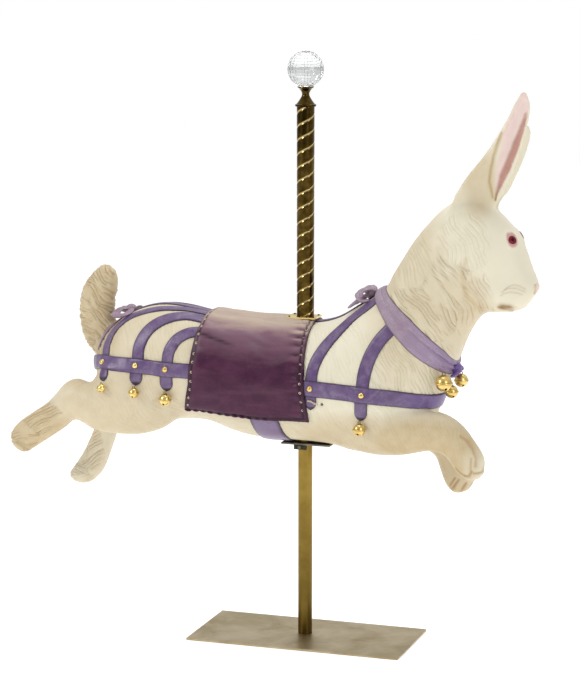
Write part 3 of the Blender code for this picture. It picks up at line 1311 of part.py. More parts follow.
def stand(top, paint):
    """Base plate, pipe, twisted sleeve, finial and ball, and the plate and clamp at the belly."""
    low = (PLATE_FORWARD - PLATE_LENGTH / 2, -PLATE_NEARWARD - PLATE_WIDTH / 2, 0.0)
    high = (PLATE_FORWARD + PLATE_LENGTH / 2, -PLATE_NEARWARD + PLATE_WIDTH / 2, PLATE_THICKNESS)
    base = loose("base_plate", block("base_plate", low, high))
    add_bevel(base, PLATE_EDGE)
    keep(base, paint["bronze"], False)
    sleeve_bottom = top + GAP
    sleeve_top = sleeve_bottom + SLEEVE_LENGTH
    keep(pipe(PLATE_THICKNESS + GAP, sleeve_top), paint["brass"])
    keep(sleeve(sleeve_bottom), paint["brass"])
    keep(finial(sleeve_top + GAP), paint["brass"])
    ball_height = sleeve_top + GAP + FINIAL_HEIGHT + cup_sink() + GAP
    keep(crystal_ball(ball_height), paint["crystal"], False)

    girth_tree = tree_of(bpy.data.objects["girth"].data)
    half_x, half_y = BELLY_PLATE_LENGTH / 2, BELLY_PLATE_WIDTH / 2
    plate_top = level_over(girth_tree, half_x, half_y, 0.0, 1) - GAP
    plate_low = plate_top - BELLY_PLATE_THICKNESS
    plate = loose("belly_plate", block("belly_plate", (BELLY_PLATE_FORWARD - half_x, -half_y, plate_low),
                                       (BELLY_PLATE_FORWARD + half_x, half_y, plate_top)))
    radius = PIPE_DIAMETER / 2 + BORE_CLEARANCE
    hole_through(plate, radius, plate_low - 0.01, plate_top + 0.01)
    keep(plate, paint["steel"], False)
    skin_tree = tree_of(bpy.data.objects["rabbit"].data)
    start, end = PACKING_START, PACKING_START + PACKING_LENGTH
    packing_top = min(skin_tree.ray_cast(Vector((x, y, 0.0)), Vector((0, 0, 1)))[0].z
                      for x in np.linspace(start, end, 7)
                      for y in np.linspace(-PACKING_WIDTH / 2, PACKING_WIDTH / 2, 7)) - LAID_GAP
    packing = block("belly_packing", (start, -PACKING_WIDTH / 2, plate_top + GAP),
                    (end, PACKING_WIDTH / 2, packing_top))
    keep(loose("belly_packing", packing), paint["black"], False)
    # A small clamp hugs the pipe's near rear quarter, under the plate
    clamp_top = plate_low - GAP
    front = -PIPE_DIAMETER / 2 + CLAMP_DEPTH / 2
    clamp = loose("belly_clamp", block("belly_clamp",
                                       (CLAMP_START, front - CLAMP_DEPTH, clamp_top - CLAMP_HEIGHT),
                                       (CLAMP_START + CLAMP_LENGTH, front, clamp_top)))
    hole_through(clamp, PIPE_DIAMETER / 2 + BORE_CLEARANCE, clamp_top - 0.1, clamp_top + 0.01)
    keep(clamp, paint["black"], False)
    bolt = rod("clamp_bolt", CLAMP_BOLT_DIAMETER / 2, 0.0, CLAMP_BOLT_DIAMETER * 0.6, 6)
    bolt.transform(Matrix.Rotation(math.radians(90), 4, "X"))
    middle = (CLAMP_START + CLAMP_LENGTH / 2, front - CLAMP_DEPTH - GAP, clamp_top - CLAMP_HEIGHT / 2)
    bolt.transform(Matrix.Translation(Vector(middle)))
    keep(loose("clamp_bolt", bolt), paint["steel"], False)


def main():
    clear_scene()
    model = bpy.data.collections.new(FIGURE)
    cutters = bpy.data.collections.new(CUTTERS)
    cutters.hide_render = True
    for collection in (model, cutters):
        bpy.context.scene.collection.children.link(collection)
    paint = paints()
    plain, skin = figure_skin()
    skin_tree = tree_of(skin)
    trees = (tree_of(plain), skin_tree)
    top = saddle(trees, paint)
    harness(trees, paint)
    bows(trees, skin, paint)
    trimmings(skin_tree, paint)
    figure(skin, skin_tree, top, paint)
    stand(top, paint)


if __name__ == "__main__":
    main()
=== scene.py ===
"""A carousel rabbit in full leap on its display stand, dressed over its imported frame.

Lengths are metres in the frame's own axes: +X to the rabbit's head, +Y to its left, +Z up.
The figure's form is drawn in centimetres, and `at` turns a drawn point into a place.
"""

import itertools
import math
from functools import partial

import bmesh
import bpy
import numpy as np
from mathutils import Matrix, Vector
from mathutils.bvhtree import BVHTree


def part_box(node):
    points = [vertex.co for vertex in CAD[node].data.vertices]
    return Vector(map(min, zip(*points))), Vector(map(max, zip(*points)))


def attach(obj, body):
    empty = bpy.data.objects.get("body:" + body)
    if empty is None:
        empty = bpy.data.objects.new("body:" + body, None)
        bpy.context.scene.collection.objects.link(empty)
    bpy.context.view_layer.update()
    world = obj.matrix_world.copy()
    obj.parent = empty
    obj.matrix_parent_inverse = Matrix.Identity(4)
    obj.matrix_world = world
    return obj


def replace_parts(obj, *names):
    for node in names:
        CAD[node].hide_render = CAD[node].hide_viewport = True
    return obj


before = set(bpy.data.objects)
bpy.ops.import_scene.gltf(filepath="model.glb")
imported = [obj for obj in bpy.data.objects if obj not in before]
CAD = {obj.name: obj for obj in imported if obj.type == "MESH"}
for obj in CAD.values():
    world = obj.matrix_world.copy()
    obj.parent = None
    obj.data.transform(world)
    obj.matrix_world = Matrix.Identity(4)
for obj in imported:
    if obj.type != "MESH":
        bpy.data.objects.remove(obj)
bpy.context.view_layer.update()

FIGURE_LENGTH = 1.45
BELLY_HEIGHT = 0.54
DRAWN_BELLY = 54.0
CM = FIGURE_LENGTH / 145.0

STRAP_THICKNESS = 0.0035
PAD_THICKNESS = 0.009
RIBBON_THICKNESS = 0.005
STUD_DIAMETER = 0.016
STUD_HEIGHT = 0.006
PIPE_DIAMETER = 0.038
PIPE_WALL = 0.0036
SLEEVE_DIAMETER = 0.0465
TWIST_LEAD = 0.073
TWIST_STARTS = 2
GROOVE_WIDTH = 0.0042
GROOVE_DEPTH = 0.0014
FLANGE_DIAMETER = 0.055
FINIAL_HEIGHT = 0.053
TIE_DIAMETER = 0.005
EYE_DIAMETER = 0.028
EYE_DEPTH = 0.010
LID_HALF_WIDTH = 0.0138
LID_HALF_HEIGHT = 0.0215
STRAND_COUNT = 128

# How finely the dressed pieces are meshed
VOXEL = 0.0030
SOFTENING = 0.5
SOFTENING_ROUNDS = 72
FIGURE_TRIANGLES = 190000
LAYING_STEP = 0.004
ROUND_SIDES = 64
SLEEVE_SIDES = 72
SLEEVE_STEPS = 420
EAR_ROOT = 121.0
EAR_SOFTENING = 0.25
CAP_ANGLES = [math.radians(turn) for turn in (80, 60, 40, 20)]


def at(x, y, z):
    """A point of the drawing, in centimetres, as a place in the frame."""
    return np.array((x * CM, y * CM, BELLY_HEIGHT + (z - DRAWN_BELLY) * CM))


def drawn(places):
    """Places in the frame as drawn x, y and z in centimetres."""
    return places[:, 0] / CM, places[:, 1] / CM, (places[:, 2] - BELLY_HEIGHT) / CM + DRAWN_BELLY


# Node kinds in use: the type, the inputs that are filled in order, the output and settings
KINDS = {
    "place": ("ShaderNodeTexCoord", (), "Object", {}),
    "own value": ("ShaderNodeAttribute", (), "Fac", {}),
    "noise": ("ShaderNodeTexNoise", ("Vector", "Scale", "Detail", "Roughness", "Distortion"), 0, {}),
    "cells": ("ShaderNodeTexVoronoi", ("Vector", "Scale"), 0, {}),
    "stretch": ("ShaderNodeMapping", ("Vector", "Scale"), 0, {}),
    "ramp": ("ShaderNodeValToRGB", (0,), 0, {}),
    "mix": ("ShaderNodeMix", (0, 6, 7), 2, {"data_type": "RGBA"}),
    "math": ("ShaderNodeMath", (0, 1, 2), 0, {}),
    "bump": ("ShaderNodeBump", ("Height", "Distance", "Strength"), 0, {}),
    "circle": ("GeometryNodeCurvePrimitiveCircle", ("Resolution", "Radius"), 0, {}),
    "along curve": ("GeometryNodeSplineParameter", (), "Factor", {}),
    "sweep": ("GeometryNodeCurveToMesh", ("Curve", "Profile Curve", "Fill Caps"), 0, {}),
}


def linear(code):
    """An sRGB hex colour as linear red, green, blue and alpha."""
    parts = [int(code[i:i + 2], 16) / 255 for i in (1, 3, 5)]
    return tuple(p / 12.92 if p <= 0.04045 else ((p + 0.055) / 1.055) ** 2.4 for p in parts) + (1.0,)


def per_mm(size):
    """The scale of a texture whose features are this many millimetres across."""
    return 1000.0 / size


def add(tree, kind, *inputs, named=None, stops=(), **settings):
    """Add a node with its inputs, which are values, hex colours or other outputs; its output.

    Inputs fill the kind's usual sockets in order, and named ones go by their socket's name.
    """
    name, sockets, output, usual = KINDS.get(kind, (kind, range(len(inputs)), 0, {}))
    new = tree.nodes.new(name)
    for key, value in {**usual, **settings}.items():
        setattr(new, key, value)
    for key, value in [*zip(sockets, inputs), *(named or {}).items()]:
        is_colour = isinstance(value, str) and value.startswith("#")
        if isinstance(value, bpy.types.NodeSocket):
            tree.links.new(value, new.inputs[key])
        else:
            new.inputs[key].default_value = linear(value) if is_colour else value
    for number, (place, grey) in enumerate(stops):
        if number >= len(new.color_ramp.elements):
            new.color_ramp.elements.new(place)
        new.color_ramp.elements[number].position = place
        new.color_ramp.elements[number].color = (grey, grey, grey, 1.0)
    return new.outputs[output]


def finish_named(name, plain, pattern=None):
    """A material: plain values sit on the shader itself, and patterns are linked to it."""
    mat = bpy.data.materials.new(name)
    mat.use_nodes = True
    tree = mat.node_tree
    shader = tree.nodes["Principled BSDF"]
    for key, value in plain.items():
        shader.inputs[key].default_value = value
    if pattern:
        node = partial(add, tree)
        for key, socket in pattern(node, node("place")).items():
            tree.links.new(socket, shader.inputs[key])
    return mat


def cream_enamel():
    """Old cream oil enamel brushed on carved basswood, glazed tan in the cuts and in patches.

    It looks like ivory with faint brush marks and fine age cracks. The tan gathered in the carving,
    the hollows and the undersides is partly glaze and partly painted shade.
    """
    def pattern(node, spot):
        own = partial(node, "own value")
        broad = node("noise", spot, per_mm(90), 3.0)
        patchy = node("noise", spot, per_mm(24), 5.0, 0.62)
        grain = node("noise", spot, per_mm(3.5), 4.0, 0.7)
        ivory = node("mix", broad, "#E5DFCB", "#DAD2BA")
        share = node("math", patchy, 0.5, 0.5, operation="MULTIPLY_ADD")
        # Painted shade with tan glaze: the tan value darkens patches, hollows and undersides
        glaze_and_shade = node("math", own(attribute_name="tan"), share, operation="MULTIPLY", use_clamp=True)
        body = node("mix", glaze_and_shade, ivory, "#B89F70")
        strand = node("math", own(attribute_name="strand"), STRAND_COUNT, operation="MULTIPLY")
        saw = node("math", strand, operation="FRACT")
        middle = node("math", node("math", saw, 0.5, operation="SUBTRACT"), operation="ABSOLUTE")
        groove = node("ramp", middle, stops=((0.0, 1.0), (0.21, 0.0)))
        force = own(attribute_name="force")
        furrow = node("math", groove, force, operation="MULTIPLY")
        # Painted shade with glaze: the fur's furrows and the carved cuts are coloured darker ochre, where
        # shade falls in them
        share = node("math", furrow, 0.66, own(attribute_name="cut"), operation="MULTIPLY_ADD")
        share = node("math", share, node("math", patchy, 0.5, 0.62, operation="MULTIPLY_ADD"),
                     operation="MULTIPLY", use_clamp=True)
        body = node("mix", share, body, node("mix", own(attribute_name="tan"), "#A58744", "#A87826"))
        body = node("mix", own(attribute_name="pink"), body, node("mix", patchy, "#E8D8D2", "#DCBEB6"))
        body = node("mix", own(attribute_name="red"), body, node("mix", patchy, "#B98478", "#9C6656"))
        body = node("mix", own(attribute_name="amber"), body, node("mix", patchy, "#A07840", "#6E4C22"))
        specks = node("ramp", grain, stops=((0.64, 0.0), (0.76, 0.25)))
        body = node("mix", specks, body, "#AD9A74")
        lock = node("math", node("math", saw, groove, operation="SUBTRACT"), force, operation="MULTIPLY")
        height = node("math", grain, 0.08, lock, operation="MULTIPLY_ADD")
        height = node("math", patchy, 0.25, height, operation="MULTIPLY_ADD")
        gloss = node("math", patchy, 0.2, 0.34, operation="MULTIPLY_ADD")
        return {"Base Color": body, "Roughness": gloss, "Normal": node("bump", height, 0.0022, 0.6)}
    return finish_named("Cream enamel on basswood", {"Specular IOR Level": 0.4}, pattern)


def strap_paint(name, body, worn, dark, shine, fresh):
    """Oil paint on strap leather, streaked and rubbed lighter; painted shade on its edges and underside."""
    def pattern(node, spot):
        broad = node("noise", spot, per_mm(34), 5, 0.65, 0.6)
        fine = node("noise", spot, per_mm(4.0), 4, 0.7)
        colour = node("mix", node("ramp", broad, stops=((0.42, 0.0), (0.66, 0.75))), body, worn)
        colour = node("mix", node("ramp", fine, stops=((0.55, 0.0), (0.78, 0.5))), colour, worn)
        colour = node("mix", node("own value", attribute_name="faded"), colour, worn)
        ahead = node("ShaderNodeSeparateXYZ", spot)
        chest = node("math", ahead, 6.0, -1.7, operation="MULTIPLY_ADD", use_clamp=True)
        colour = node("mix", chest, colour, fresh)
        # Painted shade: the edge value turns the bands' edges, tab points and undersides dark
        colour = node("mix", node("own value", attribute_name="edge"), colour, dark)
        cracks = node("cells", spot, per_mm(9), feature="DISTANCE_TO_EDGE")
        crack_lines = node("ramp", cracks, stops=((0.0, 1.0), (0.05, 0.0)))
        crazed_areas = node("ramp", broad, stops=((0.4, 0.0), (0.6, 0.6)))
        crazed = node("math", crack_lines, crazed_areas, operation="MULTIPLY")
        colour = node("mix", crazed, colour, dark)
        gloss = node("math", fine, 0.25, shine, operation="MULTIPLY_ADD")
        height = node("math", fine, node("math", crazed, -0.8, operation="MULTIPLY"), operation="ADD")
        return {"Base Color": colour, "Roughness": gloss, "Normal": node("bump", height, 0.0005, 0.5)}
    return finish_named(name, {"Specular IOR Level": 0.5}, pattern)


def pad_leather():
    """Thick upholstery leather, once plum and semi-gloss, rubbed to a dusty pink-grey on top."""
    def pattern(node, spot):
        broad = node("noise", spot, per_mm(45), 4, 0.6, 0.4)
        swept = node("noise", node("stretch", spot, (0.22, 1.0, 1.0)), per_mm(28), 4, 0.55)
        fine = node("noise", spot, per_mm(6.0), 5, 0.65)
        plum = node("mix", node("ramp", broad, stops=((0.35, 0.0), (0.7, 1.0))), "#3E1A33", "#502640")
        drift = node("math", swept, 0.5, -0.25, operation="MULTIPLY_ADD")
        # The worn value also carries painted highlight and shade over the front puckers
        share = node("math", node("own value", attribute_name="worn"), drift, operation="ADD")
        mauve = node("ramp", share, stops=((0.0, 0.0), (0.95, 1.0)))
        colour = node("mix", mauve, plum, "#8C6A78")
        bare = node("ramp", share, stops=((0.62, 0.0), (1.30, 1.0)))
        colour = node("mix", bare, colour, "#B8A594")
        scuffs = node("ramp", fine, stops=((0.62, 0.0), (0.80, 0.30)))
        colour = node("mix", scuffs, colour, "#8D6C78")
        # Painted shade: near black at the rim, in the hem's groove, along the rear fold and on the
        # underside
        colour = node("mix", node("own value", attribute_name="edge"), colour, "#241420")
        pores = node("cells", spot, per_mm(2.6))
        height = node("math", fine, node("math", pores, 0.35, operation="MULTIPLY"), operation="ADD")
        gloss = node("math", broad, 0.3, 0.24, operation="MULTIPLY_ADD")
        return {"Base Color": colour, "Roughness": gloss, "Normal": node("bump", height, 0.0007, 0.5)}
    return finish_named("Plum saddle leather", {"Specular IOR Level": 0.22}, pattern)


def metal(name, bright, dull, dark, smooth, spread, patch=30.0, strength=0.15):
    """A bare metal, brighter where rubbed, tarnished dark in its cuts; the sleeve's cuts get a painted
    highlight.
    """
    def pattern(node, spot):
        broad = node("noise", spot, per_mm(patch), 4, 0.6)
        fine = node("noise", spot, per_mm(1.6), 3, 0.6)
        colour = node("mix", node("ramp", broad, stops=((0.35, 0.0), (0.65, 1.0))), bright, dull)
        colour = node("mix", node("own value", attribute_name="cut"), colour, dark)
        gloss = node("math", broad, spread, smooth, operation="MULTIPLY_ADD")
        return {"Base Color": colour, "Roughness": gloss, "Normal": node("bump", fine, 0.00015, strength)}
    return finish_named(name, {"Metallic": 1.0}, pattern)


def brushed_bronze():
    """A rolled bronze plate, rubbed dull: long faint brush lines and cloudy patches of polish."""
    def pattern(node, spot):
        broad = node("noise", spot, per_mm(110), 4, 0.6, 0.5)
        drawn_out = node("stretch", spot, (0.05, 1.0, 1.0))
        lines = node("noise", drawn_out, per_mm(1.4), 3, 0.7)
        colour = node("mix", node("ramp", broad, stops=((0.35, 0.0), (0.68, 1.0))), "#B9A98A", "#97865F")
        colour = node("mix", node("ramp", lines, stops=((0.45, 0.0), (0.7, 0.5))), colour, "#C9BC9F")
        gloss = node("math", broad, 0.22, 0.30, operation="MULTIPLY_ADD")
        return {"Base Color": colour, "Roughness": gloss, "Normal": node("bump", lines, 0.00012, 0.3)}
    return finish_named("Rubbed bronze plate", {"Metallic": 1.0}, pattern)


def cut_crystal():
    """Lead crystal, cut in small flat facets and polished: clear, with sharp bright reflections."""
    return finish_named("Cut lead crystal", {"Base Color": linear("#F6F8F8"), "Roughness": 0.02,
                                             "IOR": 1.55, "Transmission Weight": 1.0})


def glass_eye():
    """Blown glass eye, dark red with a near-black pupil, polished but a little dusty."""
    def pattern(node, spot):
        mottled = node("noise", spot, per_mm(5), 3)
        iris = node("mix", mottled, "#8A2030", "#5A101E")
        return {"Base Color": node("mix", node("own value", attribute_name="pupil"), iris, "#1E070C")}
    return finish_named("Red glass eye", {"Roughness": 0.14, "IOR": 1.35}, pattern)


def lace_hide():
    """Rawhide lacing, pale and dry, with a fine fibrous surface."""
    def pattern(node, spot):
        fine = node("noise", spot, per_mm(1.8), 4, 0.7)
        colour = node("mix", fine, "#D8C9AE", "#A89478")
        return {"Base Color": colour, "Normal": node("bump", fine, 0.0003, 0.5)}
    return finish_named("Rawhide lacing", {"Roughness": 0.65}, pattern)


def black_rubber():
    """Moulded black rubber packing: matt, slightly dusty."""
    def pattern(node, spot):
        dust = node("noise", spot, per_mm(7), 4, 0.65)
        colour = node("mix", node("ramp", dust, stops=((0.5, 0.0), (0.8, 0.6))), "#2A261D", "#5A5446")
        return {"Base Color": colour, "Normal": node("bump", dust, 0.0003, 0.3)}
    return finish_named("Black rubber", {"Roughness": 0.75}, pattern)


def finishes():
    """Every finish of the object, by the record's material slot."""
    return {
        "cream_paint": cream_enamel(),
        "purple_straps": strap_paint(
            "Purple strap paint", "#5C4570", "#857290", "#2E2234", 0.20, "#7358A0"),
        "lavender_ribbon": strap_paint(
            "Mauve ribbon paint", "#907A8C", "#AC9CA8", "#5F4A5C", 0.34, "#9A86A8"),
        "plum_leather": pad_leather(),
        "bright_brass": metal("Polished bell brass", "#EED68C", "#D6B469", "#3A2408", 0.20, 0.16),
        # On the twisted sleeve the cut colour is bright: a painted highlight along its grooves
        "aged_brass": metal("Tarnished twisted brass", "#5E4B20", "#3A2C10", "#C9B27C", 0.05, 0.08, 18.0),
        "pipe_brass": metal("Dulled pipe brass", "#D8B75C", "#B49545", "#4A3A18", 0.26, 0.14, 60.0),
        "dull_bronze": brushed_bronze(),
        "crystal": cut_crystal(),
        "eye_glass": glass_eye(),
        "lace": lace_hide(),
        "dark_steel": metal("Dull dark steel", "#8A8474", "#5E5A4C", "#15140F", 0.42, 0.2),
        "black_rubber": black_rubber(),
    }


# The drawing: sections of the figure and routes of the bands, in centimetres
def smooth_path(rows, count):
    """Rows of numbers resampled at even steps along a smooth curve through them."""
    rows = np.array(rows, float)
    step = np.linalg.norm(np.diff(rows[:, :6], axis=0), axis=1)
    along = np.concatenate(([0.0], np.cumsum(step)))
    slope = np.gradient(rows, along, axis=0)
    want = np.linspace(0.0, along[-1], count)
    seg = np.clip(np.searchsorted(along, want, side="right") - 1, 0, len(rows) - 2)
    width = (along[seg + 1] - along[seg])[:, None]
    t = ((want - along[seg])[:, None]) / width
    a, b = rows[seg], rows[seg + 1]
    ma, mb = slope[seg] * width, slope[seg + 1] * width
    return ((2 * t**3 - 3 * t**2 + 1) * a + (t**3 - 2 * t**2 + t) * ma
            + (-2 * t**3 + 3 * t**2) * b + (t**3 - t**2) * mb)


def add_skin(bm, loops, capped=True):
    """Faces between neighbouring loops of a lofted form, and over its two ends."""
    count = len(loops[0])
    for first, second in zip(loops, loops[1:]):
        for i in range(count):
            j = (i + 1) % count
            bm.faces.new((first[i], first[j], second[j], second[i]))
    if capped:
        bm.faces.new(loops[0][::-1])
        bm.faces.new(loops[-1])


def add_tube(bm, stations, rings=24, sides=28, power=2.0, start_cap=1.0, end_cap=1.0):
    """A closed tube through stations (ax, az, bx, bz, y, half_width), all in drawing cm.

    A and B are the two outline points of a section as seen from the side.
    """
    rows = smooth_path(stations, rings)
    mid = np.stack([(rows[:, 0] + rows[:, 2]) / 2, rows[:, 4], (rows[:, 1] + rows[:, 3]) / 2], 1)
    up = np.stack([(rows[:, 0] - rows[:, 2]) / 2, 0 * rows[:, 0], (rows[:, 1] - rows[:, 3]) / 2], 1)
    side = np.stack([0 * rows[:, 0], rows[:, 5], 0 * rows[:, 0]], 1)
    sections = []
    for end, cap in ((0, start_cap), (-1, end_cap)):
        inward = mid[1] - mid[0] if end == 0 else mid[-2] - mid[-1]
        outward = -inward / np.linalg.norm(inward)
        for angle in CAP_ANGLES:
            sections.append((mid[end] + outward * cap * math.sin(angle),
                             up[end] * math.cos(angle), side[end] * math.cos(angle)))
    body = [(mid[i], up[i], side[i]) for i in range(rings)]
    caps = len(CAP_ANGLES)
    sections = sections[:caps] + body + sections[caps:][::-1]
    angles = np.arange(sides) * 2 * math.pi / sides
    cos = np.sign(np.cos(angles)) * np.abs(np.cos(angles)) ** (2 / power)
    sin = np.sign(np.sin(angles)) * np.abs(np.sin(angles)) ** (2 / power)
    loops = []
    for centre, u, v in sections:
        loops.append([bm.verts.new(at(*(centre + u * c + v * s))) for c, s in zip(cos, sin)])
    add_skin(bm, loops)


def add_ball(bm, centre, radii):
    """An ellipsoid of the drawing, centre and half axes in cm."""
    place = Matrix.Translation(Vector(at(*centre)))
    grow = Matrix.Diagonal((radii[0] * CM, radii[1] * CM, radii[2] * CM, 1.0))
    bmesh.ops.create_uvsphere(bm, u_segments=24, v_segments=14, radius=1.0, matrix=place @ grow)


# Stations as add_tube takes them, from the rump to the nose, or from a limb's root to its tip
TRUNK = [
    (-57.2, 76.5, -57.6, 68.0, 0, 6.0),
    (-55.4, 81.0, -56.2, 62.0, 0, 8.6),
    (-51.6, 84.2, -52.6, 58.0, 0, 10.8),
    (-46.5, 87.0, -46.5, 56.5, 0, 12.6),
    (-40.0, 88.6, -40.0, 56.8, 0, 13.4),
    (-33.0, 88.2, -33.0, 57.8, 0, 13.6),
    (-26.0, 86.9, -26.0, 57.8, 0, 13.4),
    (-18.0, 86.2, -18.0, 55.2, 0, 13.2),
    (-10.0, 85.8, -10.0, 54.0, 0, 13.2),
    (0.0, 85.8, 0.0, 54.0, 0, 13.2),
    (6.0, 86.4, 8.0, 53.6, 0, 13.0),
    (11.0, 88.2, 16.0, 51.9, 0, 12.8),
    (14.5, 90.5, 22.0, 52.2, 0, 12.2),
    (19.0, 93.5, 30.0, 54.5, 0, 11.4),
    (22.7, 96.4, 35.6, 62.0, 0, 10.4),
    (24.5, 100.0, 39.3, 71.5, 0, 9.6),
    (26.8, 103.8, 42.2, 78.5, 0, 9.0),
    (29.8, 108.6, 44.3, 84.0, 0, 8.6),
    (33.5, 113.2, 46.8, 88.4, 0, 8.3),
    (37.8, 117.6, 49.0, 90.6, 0, 8.1),
    (42.4, 120.0, 51.0, 91.0, 0, 8.0),
    (47.4, 119.6, 52.5, 91.0, 0, 7.8),
    (52.0, 117.0, 54.5, 91.0, 0, 7.3),
    (56.1, 113.0, 56.5, 91.3, 0, 6.5),
    (58.7, 109.0, 58.5, 91.8, 0, 5.3),
    (60.8, 103.3, 60.0, 93.0, 0, 4.2),
    (62.2, 100.4, 61.2, 94.8, 0, 3.1),
    (62.9, 98.8, 62.6, 96.6, 0, 1.6),
]
HIND_NEAR = [
    (-33.0, 74.0, -33.0, 59.0, -7.0, 4.0),
    (-38.0, 79.0, -38.0, 55.6, -7.4, 5.8),
    (-44.0, 80.0, -44.0, 53.8, -7.6, 6.6),
    (-50.0, 77.0, -50.0, 53.6, -8.0, 6.4),
    (-54.6, 72.0, -54.4, 54.0, -8.6, 5.8),
    (-58.0, 67.4, -57.0, 54.7, -9.0, 5.0),
    (-61.5, 68.6, -59.7, 56.2, -9.0, 4.4),
    (-65.3, 67.2, -62.4, 57.1, -9.0, 4.1),
    (-68.0, 64.0, -63.8, 56.0, -9.0, 3.9),
    (-70.2, 61.8, -64.8, 55.0, -9.0, 3.8),
    (-74.7, 58.6, -69.2, 51.9, -9.0, 3.8),
    (-79.2, 55.4, -73.7, 48.9, -9.0, 3.7),
    (-81.2, 53.2, -76.2, 47.1, -9.0, 3.1),
]
HIND_FAR = [
    (-33.0, 74.0, -33.0, 59.0, 7.0, 4.0),
    (-38.0, 79.0, -38.0, 55.8, 7.4, 6.0),
    (-44.0, 79.0, -44.0, 54.0, 8.0, 7.0),
    (-50.0, 75.0, -49.0, 53.6, 8.4, 6.6),
    (-55.5, 68.0, -53.0, 53.0, 9.0, 5.4),
    (-60.0, 60.5, -56.0, 52.5, 9.0, 4.4),
    (-62.8, 55.0, -57.6, 50.5, 9.0, 3.9),
    (-64.8, 50.4, -58.7, 47.2, 9.0, 3.6),
    (-67.0, 45.7, -60.2, 43.2, 9.0, 3.6),
    (-69.8, 41.2, -62.4, 38.4, 9.0, 3.6),
    (-72.0, 38.4, -64.9, 35.9, 9.0, 3.2),
]
FORE_NEAR = [
    (12.0, 70.0, 14.0, 54.0, -6.0, 4.5),
    (20.0, 68.0, 20.0, 52.8, -7.0, 5.8),
    (28.0, 66.0, 28.0, 53.0, -7.5, 5.6),
    (34.0, 65.4, 33.5, 54.2, -8.0, 5.0),
    (37.7, 65.3, 36.5, 55.0, -8.0, 4.6),
    (41.0, 64.8, 38.8, 54.8, -8.0, 4.3),
    (43.8, 63.4, 40.6, 54.0, -8.0, 4.1),
    (46.2, 61.3, 41.6, 53.0, -8.0, 4.0),
    (48.3, 58.7, 42.3, 52.0, -8.0, 4.0),
    (50.2, 56.0, 43.0, 50.6, -8.0, 3.9),
    (51.5, 53.0, 44.4, 49.4, -8.0, 3.7),
    (51.4, 50.8, 46.0, 48.3, -8.0, 3.0),
]
FORE_FAR = [
    (12.0, 70.0, 14.0, 53.0, 6.0, 4.5),
    (20.0, 66.0, 20.0, 51.2, 7.0, 5.8),
    (27.0, 63.5, 26.0, 51.0, 7.5, 5.4),
    (33.0, 62.5, 31.0, 51.6, 8.0, 4.9),
    (38.0, 61.0, 33.4, 50.6, 8.0, 4.4),
    (42.0, 58.0, 34.4, 49.0, 8.0, 4.1),
    (44.3, 54.0, 34.9, 47.2, 8.0, 4.0),
    (45.2, 50.0, 35.7, 45.0, 8.0, 3.9),
    (45.3, 46.5, 36.6, 42.6, 8.0, 3.7),
    (44.6, 43.4, 38.0, 41.0, 8.0, 3.0),
]
TAIL = [
    (-60.0, 73.5, -53.0, 80.0, 0, 3.2),
    (-62.7, 77.0, -54.2, 83.0, 0, 3.6),
    (-64.0, 81.1, -54.4, 85.0, 0, 4.0),
    (-64.3, 85.9, -54.3, 88.5, 0, 4.2),
    (-63.9, 90.1, -53.5, 92.1, 0, 4.2),
    (-62.6, 93.4, -53.3, 94.8, 0, 3.8),
    (-61.0, 95.6, -54.0, 96.9, 0, 3.1),
    (-59.2, 97.4, -55.4, 98.2, 0, 2.2),
]
# Rounded masses on both sides: centre, with its distance from the middle as y, and half axes
SHOULDER = ((20.0, 6.9, 67.0), (9.5, 6.4, 12.5))
CHEEK = ((52.6, 3.6, 97.2), (6.4, 4.2, 5.8))
BROW = ((54.8, 3.5, 109.3), (3.4, 2.4, 3.2))
# Ear: centre (x, y, z), half chord between the rims, depth of the cup
EAR = [
    (42.4, 2.4, 110.5, 6.2, 3.4),
    (44.8, 2.9, 116.5, 5.9, 3.6),
    (48.4, 3.4, 123.2, 5.6, 3.4),
    (52.2, 3.8, 129.2, 4.7, 3.0),
    (55.5, 4.2, 135.8, 3.7, 2.7),
    (57.7, 4.6, 141.2, 2.8, 2.3),
    (58.9, 4.8, 145.2, 2.1, 1.9),
    (59.2, 4.9, 148.3, 0.70, 1.1),
]
EAR_TURN = math.radians(24)
EAR_WALL = 1.1
EAR_RIM = 0.8
# The far ear is the near one's drawing, shorter, leaning out and forward
FAR_EAR = {"length": 0.757, "splay": 0.08, "lean": 0.085}


def ear_frames(side, length, splay, lean, rings):
    """The ear's sections, near for side -1: centre, rim and opening ways, half chord and depth."""
    rows = np.array(EAR, float)
    root = rows[0, :3].copy()
    rows[:, :3] = root + (rows[:, :3] - root) * length
    rows[:, 0] += lean * (rows[:, 2] - root[2])
    rows[:, 1] += splay * (rows[:, 2] - root[2])
    rows[:, 3] *= length
    rows = smooth_path(np.concatenate([rows, np.zeros((len(rows), 1))], 1), rings)
    centre = rows[:, :3] * np.array((1, side, 1))
    axis = np.gradient(centre, axis=0)
    axis /= np.linalg.norm(axis, axis=1)[:, None]
    rims = []
    openings = []
    for t in axis:
        forward = np.cross((0, side, 0), t) * side
        forward /= np.linalg.norm(forward)
        outward = np.cross(t, forward)
        outward *= side * np.sign(outward[1])
        openings.append(outward * math.cos(EAR_TURN) + forward * math.sin(EAR_TURN))
        rims.append(forward * math.cos(EAR_TURN) - outward * math.sin(EAR_TURN))
    return centre, np.array(rims), np.array(openings), rows[:, 3], rows[:, 4]


def add_ear(bm, side, length=1.0, splay=0.0, lean=0.0, rings=22, sides=20):
    """A long cupped ear, closed at both ends."""
    loops = []
    for c, rim, opening, chord, depth in zip(*ear_frames(side, length, splay, lean, rings)):
        scoop = max(depth - EAR_WALL, 0.15)
        ring = []
        for i in range(sides):
            angle = 2 * math.pi * i / sides
            bulge = math.sin(angle)
            reach = chord if bulge <= 0 else chord - EAR_RIM * min(1.0, 4 * bulge)
            along = -depth * abs(bulge) if bulge < 0 else -scoop * bulge
            point = c + rim * reach * math.cos(angle) + opening * (along + depth * 0.5)
            ring.append(bm.verts.new(at(*point)))
        loops.append(ring)
    add_skin(bm, loops)


